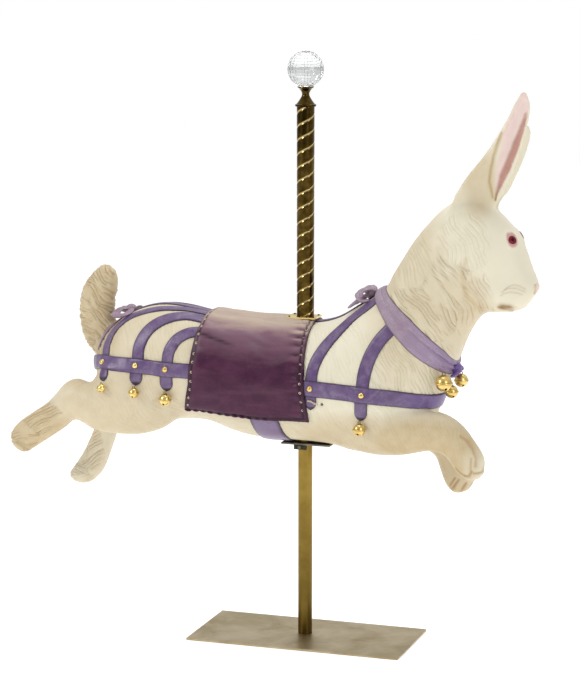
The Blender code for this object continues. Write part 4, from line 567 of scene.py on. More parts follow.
# Band routes on the near side; widths in metres unless a route carries its own
BREAST_BAND = [(2.0, -13.0, 70.5), (8.0, -12.9, 70.2), (14.0, -12.7, 69.8), (21.0, -12.4, 69.3),
               (28.0, -10.8, 68.6), (34.0, -8.2, 67.7), (37.2, -4.6, 67.2), (38.4, 0.0, 67.0)]
BREAST_BAND_WIDTH = 0.042
SHOULDER_STRAP = [(5.6, -12.9, 70.4), (6.3, -12.2, 76.0), (8.0, -11.0, 80.0), (11.4, -8.5, 84.8),
                  (15.6, -5.8, 88.8), (19.6, -4.6, 91.6), (22.6, -4.0, 94.6)]
SHOULDER_STRAP_WIDTH = 0.031
SHOULDER_TAB = [(5.6, -12.9, 70.4), (5.6, -13.0, 67.5), (5.6, -12.9, 64.6)]
NECK_STRAP = [(19.5, -12.6, 69.5), (20.0, -11.8, 75.4), (21.4, -11.0, 79.8), (24.0, -10.1, 84.2),
              (27.0, -9.5, 87.4), (29.5, -8.8, 89.8)]
NECK_STRAP_WIDTH = 0.035
NECK_TAB = [(19.4, -12.6, 69.5), (19.3, -13.0, 66.0), (19.2, -12.8, 62.6)]
WITHERS_STRAP = [(1.0, 0.0, 86.0), (7.0, 0.0, 87.0), (13.0, 0.0, 89.6), (19.0, 0.0, 93.5),
                 (22.0, 0.0, 96.0)]
RUMP_BAND = [(-25.0, -13.4, 73.0), (-31.0, -13.5, 73.1), (-37.0, -13.5, 73.3), (-44.0, -13.9, 73.8),
             (-50.0, -12.6, 73.8), (-54.4, -9.6, 73.4), (-57.4, -5.0, 72.4), (-58.6, 0.0, 71.6)]
RUMP_BAND_WIDTH = 0.040
CROUP_STRAPS = [
    ([(-52.8, -10.2, 73.5), (-52.8, -8.6, 78.6), (-51.4, -6.9, 82.0), (-47.8, -5.6, 85.0),
      (-42.0, -5.2, 87.4), (-36.0, -4.2, 88.2), (-31.0, -2.9, 88.0), (-24.0, -2.4, 86.8)], 0.027),
    ([(-42.6, -13.6, 73.5), (-42.2, -12.2, 79.3), (-40.2, -10.7, 83.1), (-36.2, -8.6, 85.9),
      (-31.0, -6.6, 87.0), (-24.0, -6.2, 86.4)], 0.035),
    ([(-34.2, -13.5, 73.5), (-33.4, -12.9, 78.6), (-31.6, -11.8, 81.3), (-29.0, -10.6, 82.8),
      (-24.0, -10.0, 83.8)], 0.032),
]
CROUP_TABS = [
    ([(-52.7, -11.2, 73.6), (-52.5, -12.6, 71.6), (-52.3, -13.8, 69.0)], 0.029),
    ([(-42.8, -13.8, 73.6), (-42.8, -14.2, 71.4), (-42.8, -14.4, 68.4)], 0.035),
    ([(-34.4, -13.5, 73.3), (-34.4, -13.4, 70.6), (-34.4, -13.0, 67.2)], 0.036),
]
SPINE_STRAP = [(-48.0, 0.0, 86.6), (-40.0, 0.0, 88.8), (-32.0, 0.0, 88.4), (-24.0, 0.0, 87.0)]
SPINE_STRAP_WIDTH = 0.026
CRUPPER = [(-57.6, -6.0, 76.4), (-57.0, -5.6, 79.4), (-55.4, -4.4, 82.4), (-53.4, -2.4, 84.2),
           (-52.6, 0.0, 84.8)]
CRUPPER_WIDTH = 0.022
GIRTH = [(-8.0, -12.0, 64.0), (-7.6, -10.9, 60.4), (-7.0, -8.6, 57.2), (-6.4, -4.4, 54.8),
         (-6.2, 0.0, 54.0)]
GIRTH_WIDTH = 0.080
GIRTH_FADING = 0.7
RIBBON = [(20.6, 0.0, 96.2, 3.6), (22.2, -4.4, 94.6, 3.9), (24.8, -7.8, 91.8, 4.8),
          (28.6, -9.4, 88.0, 5.8), (33.4, -9.3, 83.2, 6.2), (37.6, -7.6, 79.6, 5.6),
          (40.2, -4.4, 77.0, 4.4), (41.0, 0.0, 76.0, 3.8)]
# The pad's edge: turn about the body's axis in degrees, then x at its rear and front edges
PAD_EDGES = [(0.0, -26.0, 3.5), (30.0, -26.5, 3.5), (60.0, -27.5, 3.7), (90.0, -28.1, 4.1),
             (110.0, -29.3, 4.5), (127.0, -30.3, 4.8)]
PAD_AXIS_HEIGHT = 70.0
PAD_RADIUS = 13.0
NAPE_BOW = [
    ([(19.0, 0.0, 94.6), (17.8, -2.0, 95.6), (16.0, -3.4, 94.6), (16.4, -4.0, 92.8),
      (18.6, -2.6, 92.8)], [0.9, 1.1, 1.2, 1.1, 0.9]),
    ([(18.6, -1.0, 94.0), (16.6, -1.8, 93.4), (14.4, -2.8, 91.8), (12.6, -3.2, 90.4)],
     [0.9, 1.1, 1.0, 0.7]),
]
NAPE_BOW_HEART = ((18.2, 0.0, 94.4), (1.6, 1.6, 1.4))
CROUP_BOW = [
    ([(-49.6, 0.0, 86.8), (-52.0, -1.6, 86.6), (-52.6, -3.8, 85.4), (-49.6, -4.6, 85.6),
      (-47.8, -2.4, 87.2)], [0.9, 1.1, 1.3, 1.2, 0.9]),
]
CROUP_BOW_HEART = ((-49.4, 0.0, 86.8), (1.5, 1.4, 1.2))
KNOT = [
    ([(41.4, -1.2, 76.0), (42.0, -2.6, 75.4), (41.6, -3.2, 74.4), (41.0, -2.6, 73.6)],
     [1.1, 1.3, 1.1, 0.6]),
    ([(41.4, -0.6, 76.0), (42.2, 0.8, 75.6), (42.2, 0.8, 74.8)], [1.1, 1.2, 0.7]),
]
KNOT_HEART = ((41.7, -1.0, 75.8), (1.4, 2.0, 1.5))
THROAT_AIM = (0.6, -0.8, 0.0)
BAND_LIFT = 0.001
# A band's underside reaches this far into what it lies on, so that no light shows beneath it
BAND_SINK = 0.0012
# The length of a tab's point, as a share of its width
POINT_LENGTH = 0.62


def rough_figure():
    """Trunk, limbs, tail and ears as overlapping closed tubes."""
    bm = bmesh.new()
    add_tube(bm, TRUNK, rings=110, sides=64, power=2.25, start_cap=2.0, end_cap=0.6)
    for limb, cap in ((HIND_NEAR, 2.6), (HIND_FAR, 2.6), (FORE_NEAR, 1.6), (FORE_FAR, 1.6), (TAIL, 0.9)):
        add_tube(bm, limb, rings=44, sides=40, end_cap=cap)
    add_ear(bm, -1, rings=40, sides=36)
    add_ear(bm, 1, rings=40, sides=36, **FAR_EAR)
    for side in (-1, 1):
        for (x, aside, z), radii in (SHOULDER, CHEEK, BROW):
            add_ball(bm, (x, side * aside, z), radii)
    return as_mesh("rough_figure", bm)


def as_mesh(name, bm):
    """The edited mesh as a finished one, its faces smooth and pointing outwards."""
    bmesh.ops.recalc_face_normals(bm, faces=bm.faces)
    for face in bm.faces:
        face.smooth = True
    mesh = bpy.data.meshes.new(name)
    bm.to_mesh(mesh)
    bm.free()
    return mesh


def evaluated(obj):
    """The object's mesh with its modifiers applied, which are then removed."""
    graph = bpy.context.evaluated_depsgraph_get()
    mesh = bpy.data.meshes.new_from_object(obj.evaluated_get(graph))
    obj.modifiers.clear()
    return mesh


def linked(name, mesh):
    """A new object in the scene that shows the mesh."""
    obj = bpy.data.objects.new(name, mesh)
    bpy.context.scene.collection.objects.link(obj)
    return obj


def read_points(mesh, what="co"):
    """The mesh's points as rows of x, y and z: their places, or with "normal" their ways out."""
    values = np.empty(len(mesh.vertices) * 3)
    mesh.vertices.foreach_get(what, values)
    return values.reshape(-1, 3)


def move_points(mesh, places):
    """Put the mesh's points at new places."""
    mesh.vertices.foreach_set("co", places.reshape(-1))
    mesh.update()


def paint_values(mesh, **values):
    """Store painted values from 0 to 1 at the mesh's points."""
    for name, share in values.items():
        layer = mesh.attributes.new(name, "FLOAT", "POINT")
        layer.data.foreach_set("value", np.clip(share, 0, 1).astype(np.float32))


def tree_of(mesh):
    """A search tree over the mesh, for nearest points and rays."""
    return BVHTree.FromPolygons(read_points(mesh).tolist(), [tuple(f.vertices) for f in mesh.polygons])


def relaxed(mesh, rounds):
    """Joins between limbs and trunk melted by averaging each point with its neighbours."""
    count = len(mesh.vertices)
    places = read_points(mesh)
    edges = np.empty(len(mesh.edges) * 2, dtype=np.int64)
    mesh.edges.foreach_get("vertices", edges)
    a, b = edges.reshape(-1, 2).T
    number = np.bincount(a, minlength=count) + np.bincount(b, minlength=count)
    weight = np.where(drawn(places)[2] > EAR_ROOT, EAR_SOFTENING, 1.0)[:, None]
    for _ in range(rounds):
        total = np.stack([np.bincount(a, places[b, k], count) + np.bincount(b, places[a, k], count)
                          for k in range(3)], axis=1)
        places += SOFTENING * weight * (total / number[:, None] - places)
    move_points(mesh, places)


# Carving and painting of the figure

def scattered(places, pitch, seed):
    """Smooth random values from 0 to 1 over places, as far apart as pitch."""
    cells = 16
    table = np.random.default_rng(seed).random((cells, cells, cells))
    grid = places / pitch
    low = np.floor(grid).astype(int)
    share = grid - low
    share = share * share * (3 - 2 * share)
    total = np.zeros(len(places))
    for corner in itertools.product((0, 1), repeat=3):
        weight = np.prod(np.where(corner, share, 1 - share), axis=1)
        cell = (low + corner) % cells
        total += weight * table[cell[:, 0], cell[:, 1], cell[:, 2]]
    return total


def bump_patch(x, z, centre, radii, rim=0.6):
    """1 inside an ellipse of the side view, fading to 0 past its edge."""
    far = ((x - centre[0]) / radii[0]) ** 2 + ((z - centre[1]) / radii[1]) ** 2
    return np.clip((1 + rim - far) / rim, 0, 1)


def distance_to_segment(x, z, start, end):
    """How far points of the side view lie from a straight line between two drawn points."""
    dx = end[0] - start[0]
    dz = end[1] - start[1]
    share = np.clip(((x - start[0]) * dx + (z - start[1]) * dz) / (dx * dx + dz * dz), 0, 1)
    return np.hypot(x - start[0] - share * dx, z - start[1] - share * dz)


def along_line(x, z, points, radius):
    """1 on a drawn line through points, fading to 0 at about its radius."""
    away = np.min([distance_to_segment(x, z, a, b) for a, b in zip(points, points[1:])], axis=0)
    return np.exp(-(away / radius) ** 2)


# Carved fur: patch centre and radii, heading in degrees, length, spacing in cm and strength
STROKES = [
    ((40.5, 97.0), (7.0, 9.0), -54.0, 7.5, 0.95, 0.85),
    ((33.5, 91.0), (7.5, 8.0), -50.0, 6.5, 0.95, 0.70),
    ((47.0, 93.0), (4.5, 9.0), -74.0, 6.0, 1.00, 0.60),
    ((44.5, 109.0), (6.0, 6.5), -66.0, 6.0, 1.10, 0.40),
    ((31.0, 77.0), (9.5, 8.0), -66.0, 5.5, 0.85, 0.50),
    ((31.0, 105.0), (6.0, 9.0), -52.0, 7.0, 1.10, 0.34),
    ((20.0, 60.0), (15.0, 6.0), -64.0, 6.0, 0.90, 0.26),
    ((38.0, 58.0), (9.0, 5.0), -76.0, 5.0, 0.80, 0.24),
    ((11.0, 79.0), (9.0, 8.0), -60.0, 6.0, 1.10, 0.22),
    ((-40.0, 82.0), (16.0, 9.0), -70.0, 7.0, 1.00, 0.20),
    ((-49.0, 65.0), (10.0, 7.0), -62.0, 5.5, 1.00, 0.18),
    ((-34.0, 59.0), (12.0, 5.0), -48.0, 5.0, 1.00, 0.22),
    ((-72.0, 57.2), (6.5, 3.8), 27.0, 14.0, 0.85, 0.80),
    ((-77.2, 53.0), (4.5, 3.8), 8.0, 10.0, 0.85, 0.80),
    ((-78.8, 49.0), (3.4, 3.0), -24.0, 8.0, 0.80, 0.90),
    ((-65.6, 46.8), (4.0, 6.0), 36.0, 12.0, 0.85, 0.70),
    ((-69.4, 40.0), (3.4, 3.4), -6.0, 9.0, 0.80, 0.65),
    ((-68.0, 36.4), (3.4, 2.6), 24.0, 8.0, 0.80, 0.60),
    ((-12.0, 56.5), (20.0, 4.0), -24.0, 6.0, 1.00, 0.22),
]
TAIL_STROKES = [
    ((-62.4, 85.0), (5.2, 16.0), -16.0, 4.5, 0.78, 0.85),
    ((-57.0, 88.5), (4.4, 13.0), -52.0, 4.5, 0.78, 0.90),
]
STRANDS_IN_LOCK = 2.6
# How far the strands wander sideways, in strands, and how sharply they break off along their run
STRAND_SWAY = 2.4
RUN_SHARPNESS = 3.0
RUN_THRESHOLD = 0.62
# A patch's weight falls from 1 at its ellipse to 0 over this rim, and the strands are cut weaker
# over this much weight where one patch gives way to the next
PATCH_RIM = 0.7
PATCH_SEAM = 0.16


def cloud(u, v, seed):
    """Smooth random values from 0 to 1 over a plane, about one hill or hollow to a unit."""
    cells = 64
    table = np.random.default_rng(seed).random((cells, cells))
    left = np.floor(u).astype(int)
    low = np.floor(v).astype(int)
    s = u - left
    t = v - low
    s = s * s * (3 - 2 * s)
    t = t * t * (3 - 2 * t)
    left, low = left % cells, low % cells
    right, high = (left + 1) % cells, (low + 1) % cells
    near = table[left, low] * (1 - s) + table[right, low] * s
    far = table[left, high] * (1 - s) + table[right, high] * s
    return near * (1 - t) + far * t


def strokes(x, z, patches, seed):
    """Where each point lies among the strands of carved fur, and how strongly they are cut."""
    top = np.zeros(len(x))
    second = np.zeros(len(x))
    strand = np.zeros(len(x))
    force = np.zeros(len(x))
    for number, (centre, radii, heading, length, gap, share) in enumerate(patches):
        dx = x - centre[0]
        dz = z - centre[1]
        weight = (1 + PATCH_RIM - (dx / radii[0]) ** 2 - (dz / radii[1]) ** 2) / PATCH_RIM
        way = math.radians(heading)
        u = dx * math.cos(way) + dz * math.sin(way)
        v = -dx * math.sin(way) + dz * math.cos(way)
        sway = cloud(u / length + 20, v / 4.0 + 20, seed + 50)
        sway += 0.3 * cloud(u / 2.0 + 9, v / 1.5 + 9, seed)
        breaks = cloud(u / (0.45 * length) + 30, v / (1.1 * gap) + 30, seed + number)
        run = np.clip(RUN_SHARPNESS * breaks - RUN_THRESHOLD, 0, 1)
        best = weight > top
        second = np.where(best, top, np.maximum(second, weight))
        top = np.maximum(top, weight)
        strand = np.where(best, v / gap + STRAND_SWAY * sway, strand)
        force = np.where(best, share * run, force)
    fade = np.clip(top / 0.4, 0, 1) * np.clip((top - second) / PATCH_SEAM, 0.1, 1)
    return strand, force * fade


# Grooves of the feet: the drawn line, its half width, its depth and the side's y
PAW_LINES = [
    ([(45.6, 60.0), (47.2, 58.9), (48.7, 56.7), (49.7, 54.4), (49.6, 52.4)], 0.40, 0.36, -8.0),
    ([(48.5, 54.4), (48.4, 51.1)], 0.32, 0.30, -8.0),
    ([(51.0, 56.4), (51.6, 53.4), (51.2, 51.4)], 0.32, 0.20, -8.0),
]
TOE_GROOVES = [
    ([(46.4, 49.3), (47.7, 49.5), (48.6, 50.8)], 0.36, 0.34, -8.0),
    ([(44.2, 51.4), (45.0, 50.4), (46.4, 49.6)], 0.30, 0.20, -8.0),
    ([(49.2, 50.4), (50.8, 50.6), (51.8, 51.4)], 0.34, 0.22, -8.0),
    ([(41.0, 44.8), (38.9, 41.7)], 0.34, 0.34, 8.0),
    ([(40.0, 45.2), (38.5, 43.0)], 0.30, 0.34, 8.0),
    ([(42.9, 43.8), (41.4, 41.3)], 0.34, 0.34, 8.0),
    ([(44.4, 43.6), (43.4, 41.6)], 0.30, 0.24, 8.0),
]
# Lines of the face and the ears, as x and z in the side view
MOUTH = [(54.7, 93.4), (56.4, 93.1)]
MOUTH_SLIT = [(53.8, 93.1), (55.0, 92.6), (56.7, 91.7)]
LOWER_LIP = [(51.2, 91.4), (53.4, 91.8), (55.0, 91.7), (56.4, 91.5)]
WHISKERS = [
    [(55.6, 98.0), (56.4, 98.7), (57.3, 99.1), (58.1, 99.1), (58.9, 98.8), (60.4, 97.8)],
    [(54.9, 97.2), (55.6, 97.9), (56.5, 98.3), (57.5, 98.3), (58.5, 98.1), (60.2, 97.2)],
    [(54.6, 96.4), (55.3, 96.9), (56.2, 97.2), (57.2, 97.3), (58.1, 97.1), (59.6, 96.5)],
]
NOSTRIL = [(62.4, 98.8), (62.5, 97.6), (62.1, 96.4)]
CHEEK_LINE = [(45.6, 105.6), (44.6, 101.0), (45.6, 96.0), (48.6, 92.6)]
EAR_CREASE = [(51.6, 120.2), (52.0, 123.3), (52.8, 126.6), (53.9, 129.1), (54.7, 130.8), (55.7, 133.2),
              (56.3, 134.9), (57.4, 137.3), (58.6, 140.2), (59.6, 142.7)]
EAR_PINK_EDGE = [(51.4, 120.8), (51.3, 123.3), (51.6, 126.6), (52.0, 129.0), (52.8, 131.9), (53.5, 134.8),
                 (54.1, 137.7), (55.3, 140.5), (56.4, 143.0), (58.4, 147.2)]
EAR_FOLD = [(50.9, 120.8), (50.1, 124.9), (50.7, 128.2), (51.6, 131.5), (52.8, 134.8), (54.1, 137.7)]
# How far each carved detail stands in or out, in drawing centimetres
STRAND_RELIEF = 0.30
LOCK_RELIEF = 0.11
TAIL_SCALLOP_RISE = 0.20
TAIL_SCALLOP_PITCH = 2.1
LIP_RISE = 0.14
MOUTH_DEPTH = 0.20
SLIT_DEPTH = 0.40
WHISKER_DEPTH = 0.06
NOSTRIL_DEPTH = 0.14
CHEEK_DEPTH = 0.12
EAR_FOLD_DEPTH = 0.20
EAR_CREASE_DEPTH = 0.24
EAR_CUP_DEPTH = 0.10
LID_RISE = 0.16
BROAD_UNEVENNESS = 0.05
FINE_UNEVENNESS = 0.03
# Where the cream is glazed tan, partly as painted shade on low and hollow parts: centre, radii, share
TAN_GLAZE_AND_SHADE = [
    ((-76.0, 54.5), (10.0, 7.0), 0.90), ((-68.0, 43.0), (7.0, 9.0), 0.36),
    ((-59.0, 84.0), (7.5, 15.0), 0.85), ((-48.0, 66.0), (14.0, 11.0), 0.55),
    ((-42.0, 82.0), (16.0, 8.0), 0.45), ((20.0, 57.0), (14.0, 4.5), 0.60),
    ((36.0, 58.0), (11.0, 4.4), 0.95), ((41.5, 52.5), (4.5, 4.6), 0.90),
    ((45.5, 52.0), (3.4, 3.6), 0.60), ((38.0, 47.5), (5.0, 7.0), 0.80),
    ((30.0, 96.0), (7.0, 16.0), 0.50), ((-56.0, 60.0), (8.0, 7.0), 0.60),
    ((48.0, 125.0), (2.6, 6.0), 0.55), ((-14.0, 57.0), (20.0, 4.0), 0.30),
    ((43.0, 91.0), (6.0, 8.0), 0.50),
]


def ear_drawing(x, y, z):
    """Points of either ear as places in the near ear's drawing, so both get the same lines."""
    far = y > 0
    rise = z - EAR[0][2]
    flat_x = np.where(far, EAR[0][0] + (x - FAR_EAR["lean"] * rise - EAR[0][0]) / FAR_EAR["length"], x)
    flat_z = np.where(far, EAR[0][2] + rise / FAR_EAR["length"], z)
    return flat_x, flat_z


def ear_marks(places, normals):
    """The ears' pink cup, the reddish strip in front of its crease, the crease and the fold."""
    x, y, z = drawn(places)
    flat_x, flat_z = ear_drawing(x, y, z)
    stations = 60
    centre, _, opening, chord, _ = ear_frames(-1, 1.0, 0.0, 0.0, stations)
    station = np.clip(np.searchsorted(centre[:, 2], flat_z), 0, stations - 1)
    to_rim = (flat_x - centre[station, 0]) / (chord[station] * math.cos(EAR_TURN))
    side = np.where(y > 0, -1.0, 1.0)
    open_way = opening[station] * np.stack([np.ones_like(side), side, np.ones_like(side)], axis=1)
    cup = (np.einsum("ij,ij->i", normals, open_way) > -0.05) & (flat_z > 119.0)
    edge_x = np.interp(flat_z, [p[1] for p in EAR_PINK_EDGE], [p[0] for p in EAR_PINK_EDGE])
    crease_x = np.interp(flat_z, [p[1] for p in EAR_CREASE], [p[0] for p in EAR_CREASE])
    inside = cup * np.clip((flat_x - edge_x) / 0.5, 0, 1) * np.clip((0.90 - to_rim) / 0.10, 0, 1)
    strip = inside * np.clip((flat_x - crease_x) / 0.3, 0, 1) * np.clip((144 - flat_z) / 3, 0, 1)
    crease = cup * along_line(flat_x, flat_z, EAR_CREASE, 0.24)
    fold = cup * along_line(flat_x, flat_z, EAR_FOLD, 0.35)
    return inside, strip, crease, fold


def from_eye(places):
    """How far each point lies from the nearer eye's middle, where 1 is the rim of its lids."""
    away = []
    for node_name in ("eye_near", "eye_far"):
        low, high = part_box(node_name)
        middle = (low + high) / 2
        sideways = np.hypot(places[:, 0] - middle.x, places[:, 1] - middle.y)
        flat = np.sqrt(np.clip(sideways ** 2 - EYE_DEPTH ** 2, 0, None))
        away.append(np.hypot(flat / LID_HALF_WIDTH, (places[:, 2] - middle.z) / LID_HALF_HEIGHT))
    return np.minimum(*away)


def carved(places, normals):
    """The carving's height in metres at each point, its cuts, and the fur's strands and force."""
    x, y, z = drawn(places)
    drift = scattered(places, 0.035, 7)
    facing = np.clip(np.abs(normals[:, 1]) * 1.6, 0, 1)
    wave = 0.35 * (drift - 0.5)
    strand, force = strokes(x + wave, z + wave, STROKES, 5)
    tail = (x < -54.0) & (z > 75.0)
    tail_strand, tail_force = strokes(x, z, TAIL_STROKES, 9)
    strand = np.where(tail, tail_strand, strand)
    force = np.where(tail, tail_force * np.clip(facing + 0.5, 0, 1), force * facing)
    saw = strand % 1
    depth = STRAND_RELIEF * force * (saw - 0.5 - np.exp(-((saw - 0.5) / 0.2) ** 2))
    depth += LOCK_RELIEF * force * np.sin(2 * math.pi * strand / STRANDS_IN_LOCK)
    scallop = 0.5 + 0.5 * np.sin(2 * math.pi * (z + 0.5 * x) / TAIL_SCALLOP_PITCH + 5 * drift)
    depth += TAIL_SCALLOP_RISE * scallop * tail * np.clip((-61.0 - x) / 1.5, 0, 1)
    cut = np.zeros(len(x))
    for points, radius, share, side in PAW_LINES + TOE_GROOVES:
        line = along_line(x, z, points, radius) * (np.abs(y - side) < 6)
        depth -= line * share
        cut = np.maximum(cut, 0.5 * line)
    mouth = along_line(x, z, MOUTH, 0.6) * (z < 95)
    slit = along_line(x, z, MOUTH_SLIT, 0.30) * (z < 95)
    lip = along_line(x, z, LOWER_LIP, 0.55) * (z < 93)
    whiskers = sum(along_line(x, z, points, 0.16) for points in WHISKERS) * (np.abs(y) > 3.0)
    nostril = along_line(x, z, NOSTRIL, 0.26) * (np.abs(y) > 0.6)
    cheek = along_line(x, z, CHEEK_LINE, 0.6) * facing
    inside, _, crease, fold = ear_marks(places, normals)
    depth += LIP_RISE * lip
    depth -= (MOUTH_DEPTH * mouth + SLIT_DEPTH * slit + WHISKER_DEPTH * whiskers
              + NOSTRIL_DEPTH * nostril + CHEEK_DEPTH * cheek)
    depth -= EAR_FOLD_DEPTH * fold
    depth -= EAR_CREASE_DEPTH * crease + EAR_CUP_DEPTH * inside
    # The cut value darkens the paint of carved lines: glaze, and painted shade in creases, folds and
    # grooves
    cut = np.maximum.reduce([cut, 0.9 * crease, 0.7 * fold, 0.3 * cheek, 0.8 * nostril])
    depth += LID_RISE * np.exp(-((from_eye(places) - 1.08) / 0.2) ** 2)
    depth += (BROAD_UNEVENNESS * (scattered(places, 0.03, 3) - 0.5)
              + FINE_UNEVENNESS * (scattered(places, 0.011, 4) - 0.5))
    return depth * CM, cut, strand / STRAND_COUNT + 0.5, force


def painted(places, normals):
    """The painter's work, 0 to 1: tan glaze and painted shade, pink skin, redder skin in the ears, amber
    lines.
    """
    x, y, z = drawn(places)
    tan = np.zeros(len(places))
    for centre, radii, share in TAN_GLAZE_AND_SHADE:
        tan = np.maximum(tan, share * bump_patch(x, z, centre, radii, 2.4))
    # Painted shade: faces that look down get more tan, so the undersides are darker
    tan += 0.20 * np.clip(-normals[:, 2], 0, 1)
    inside, strip, crease, _ = ear_marks(places, normals)
    lid = from_eye(places)
    pink = np.maximum(inside, np.clip((1.05 - lid) / 0.10, 0, 1))
    pink = np.maximum(pink, 0.7 * bump_patch(x, z, (63.5, 97.9), (1.0, 2.0), 0.5))
    red = np.maximum(0.85 * strip, 0.7 * np.clip((0.98 - lid) / 0.12, 0, 1))
    amber = 0.95 * along_line(x, z, MOUTH, 0.85) + 0.6 * along_line(x, z, MOUTH_SLIT, 0.3)
    amber = amber * (z < 95)
    whiskers = 0.30 * sum(along_line(x, z, p, 0.18) for p in WHISKERS) * (np.abs(y) > 3.0)
    toes = sum(along_line(x, z, line[0], line[1]) * (np.abs(y - line[3]) < 6) for line in TOE_GROOVES)
    # Painted shade: the ear's root and its crease are darkened where shade falls in them
    root = np.clip((125.0 - ear_drawing(x, y, z)[1]) / 4, 0, 0.8) * np.maximum(crease, 0.5 * strip)
    return tan, pink, red, np.maximum.reduce([amber, whiskers, root, 0.35 * toes, 0.45 * crease])


def carved_figure(finish):
    """The rabbit: one skin over all its limbs, carved and painted. Returns it with two trees."""
    obj = linked("rabbit_figure", rough_figure())
    remesh = obj.modifiers.new("One skin", "REMESH")
    remesh.mode = "VOXEL"
    remesh.voxel_size = VOXEL
    mesh = evaluated(obj)
    relaxed(mesh, SOFTENING_ROUNDS)
    smooth_tree = tree_of(mesh)
    places, normals = read_points(mesh), read_points(mesh, "normal")
    height, cut, strand, force = carved(places, normals)
    tan, pink, red, amber = painted(places, normals)
    move_points(mesh, places + normals * height[:, None])
    paint_values(mesh, cut=cut, strand=strand, force=force, tan=tan, pink=pink, red=red, amber=amber)
    obj.data = mesh
    thin = obj.modifiers.new("Facets", "DECIMATE")
    thin.ratio = min(1.0, FIGURE_TRIANGLES / (2 * len(mesh.polygons)))
    obj.data = evaluated(obj)
    obj.data.shade_smooth()
    obj.data.materials.append(finish["cream_paint"])
    return obj, smooth_tree, tree_of(obj.data)


# Bands laid on the figure

def laid_frames(tree, route, steps):
    """Places on the skin along a band, with the skin's normal, the way ahead and the width."""
    rows = np.array(route, float)
    if rows.shape[1] == 3:
        rows = np.concatenate([rows, np.zeros((len(rows), 1))], axis=1)
    places = np.array([at(*row[:3]) for row in rows])
    table = np.concatenate([places, rows[:, 3:4] * CM, np.zeros((len(rows), 2))], axis=1)
    table = smooth_path(table, steps)
    found = [tree.find_nearest(Vector(row[:3])) for row in table]
    spots = np.array([hit[0] for hit in found])
    normals = np.array([hit[1] for hit in found])
    return spots, normals, np.gradient(spots, axis=0), table[:, 3]


def route_length(route):
    """The length of a drawn route, in metres."""
    places = np.array([at(*row[:3]) for row in route])
    return np.linalg.norm(np.diff(places, axis=0), axis=1).sum()


def height_over(trees, spot, way, reach=0.03):
    """How far the solids beneath stand above a place, looking down on it along -way."""
    start = Vector(spot + way * reach)
    found = [tree.ray_cast(start, Vector(-way), 2 * reach)[3] for tree in trees]
    return max([reach - distance for distance in found if distance is not None], default=0.0)


def softened(height, rounds, closed):
    """Heights raised to their neighbours' and then averaged, so a band bridges what it crosses."""
    mode = "wrap" if closed else "edge"
    def near(values, axis):
        pad = [(0, 0), (0, 0)]
        pad[axis] = (1, 1)
        wide = np.pad(values, pad, mode=mode if axis == 0 else "edge")
        cut = [slice(None), slice(None)]
        parts = []
        for start in range(3):
            cut[axis] = slice(start, start + values.shape[axis])
            parts.append(wide[tuple(cut)])
        return parts
    for axis in (0, 0, 1):
        height = np.maximum.reduce(near(height, axis))
    for _ in range(rounds):
        for axis in (0, 1):
            low, middle, high = near(height, axis)
            height = (low + 2 * middle + high) / 4
    return height


def band(route, width, thickness, smooth_tree, trees, columns=9, closed=False, pointed=False,
         relief_of=None):
    """A band laid over the figure: rows of under and upper places, with each one's own values."""
    steps = max(6, round(route_length(route) / LAYING_STEP))
    spots, normals, ahead, widths = laid_frames(smooth_tree, route, steps + 1 if closed else steps)
    shares = np.sin(np.linspace(-math.pi / 2, math.pi / 2, columns))
    along = np.concatenate(([0.0], np.cumsum(np.linalg.norm(np.diff(spots, axis=0), axis=1))))
    grid = np.empty((steps, columns, 3))
    ways = np.empty((steps, columns, 3))
    height = np.empty((steps, columns))
    for i in range(steps):
        side = np.cross(normals[i], ahead[i])
        side /= np.linalg.norm(side)
        half = (widths[i] if widths[i] > 0 else width) / 2
        if pointed:
            left = min((along[steps - 1] - along[i]) / (POINT_LENGTH * width), 1.0)
            half *= max(1 - (1 - left) ** 1.9, 0.0) ** 0.62
        for j, share in enumerate(shares):
            spot, out, _, _ = smooth_tree.find_nearest(Vector(spots[i] + side * half * share))
            way = np.array(out) + normals[i]
            grid[i, j], ways[i, j] = spot, way / np.linalg.norm(way)
            height[i, j] = height_over(trees, grid[i, j], ways[i, j])
    height = softened(height, 3, closed)
    crown = thickness * (0.35 + 0.65 * (1 - np.abs(shares) ** 7) ** 0.5)
    upper = height + crown[None, :]
    if relief_of is not None:
        upper = upper + relief_of(along[:steps][:, None] / along[-1], shares[None, :])
    under = height - BAND_SINK
    # Painted shade along the band's two edges, and over the last rows of a tab's point
    edge = np.clip((np.abs(shares) - 0.86) / 0.12, 0, 1)[None, :] * np.ones((steps, 1))
    if pointed:
        edge[-3:] = 1.0
    return {"under": grid + ways * under[..., None], "upper": grid + ways * upper[..., None],
            "edge": edge, "closed": closed}


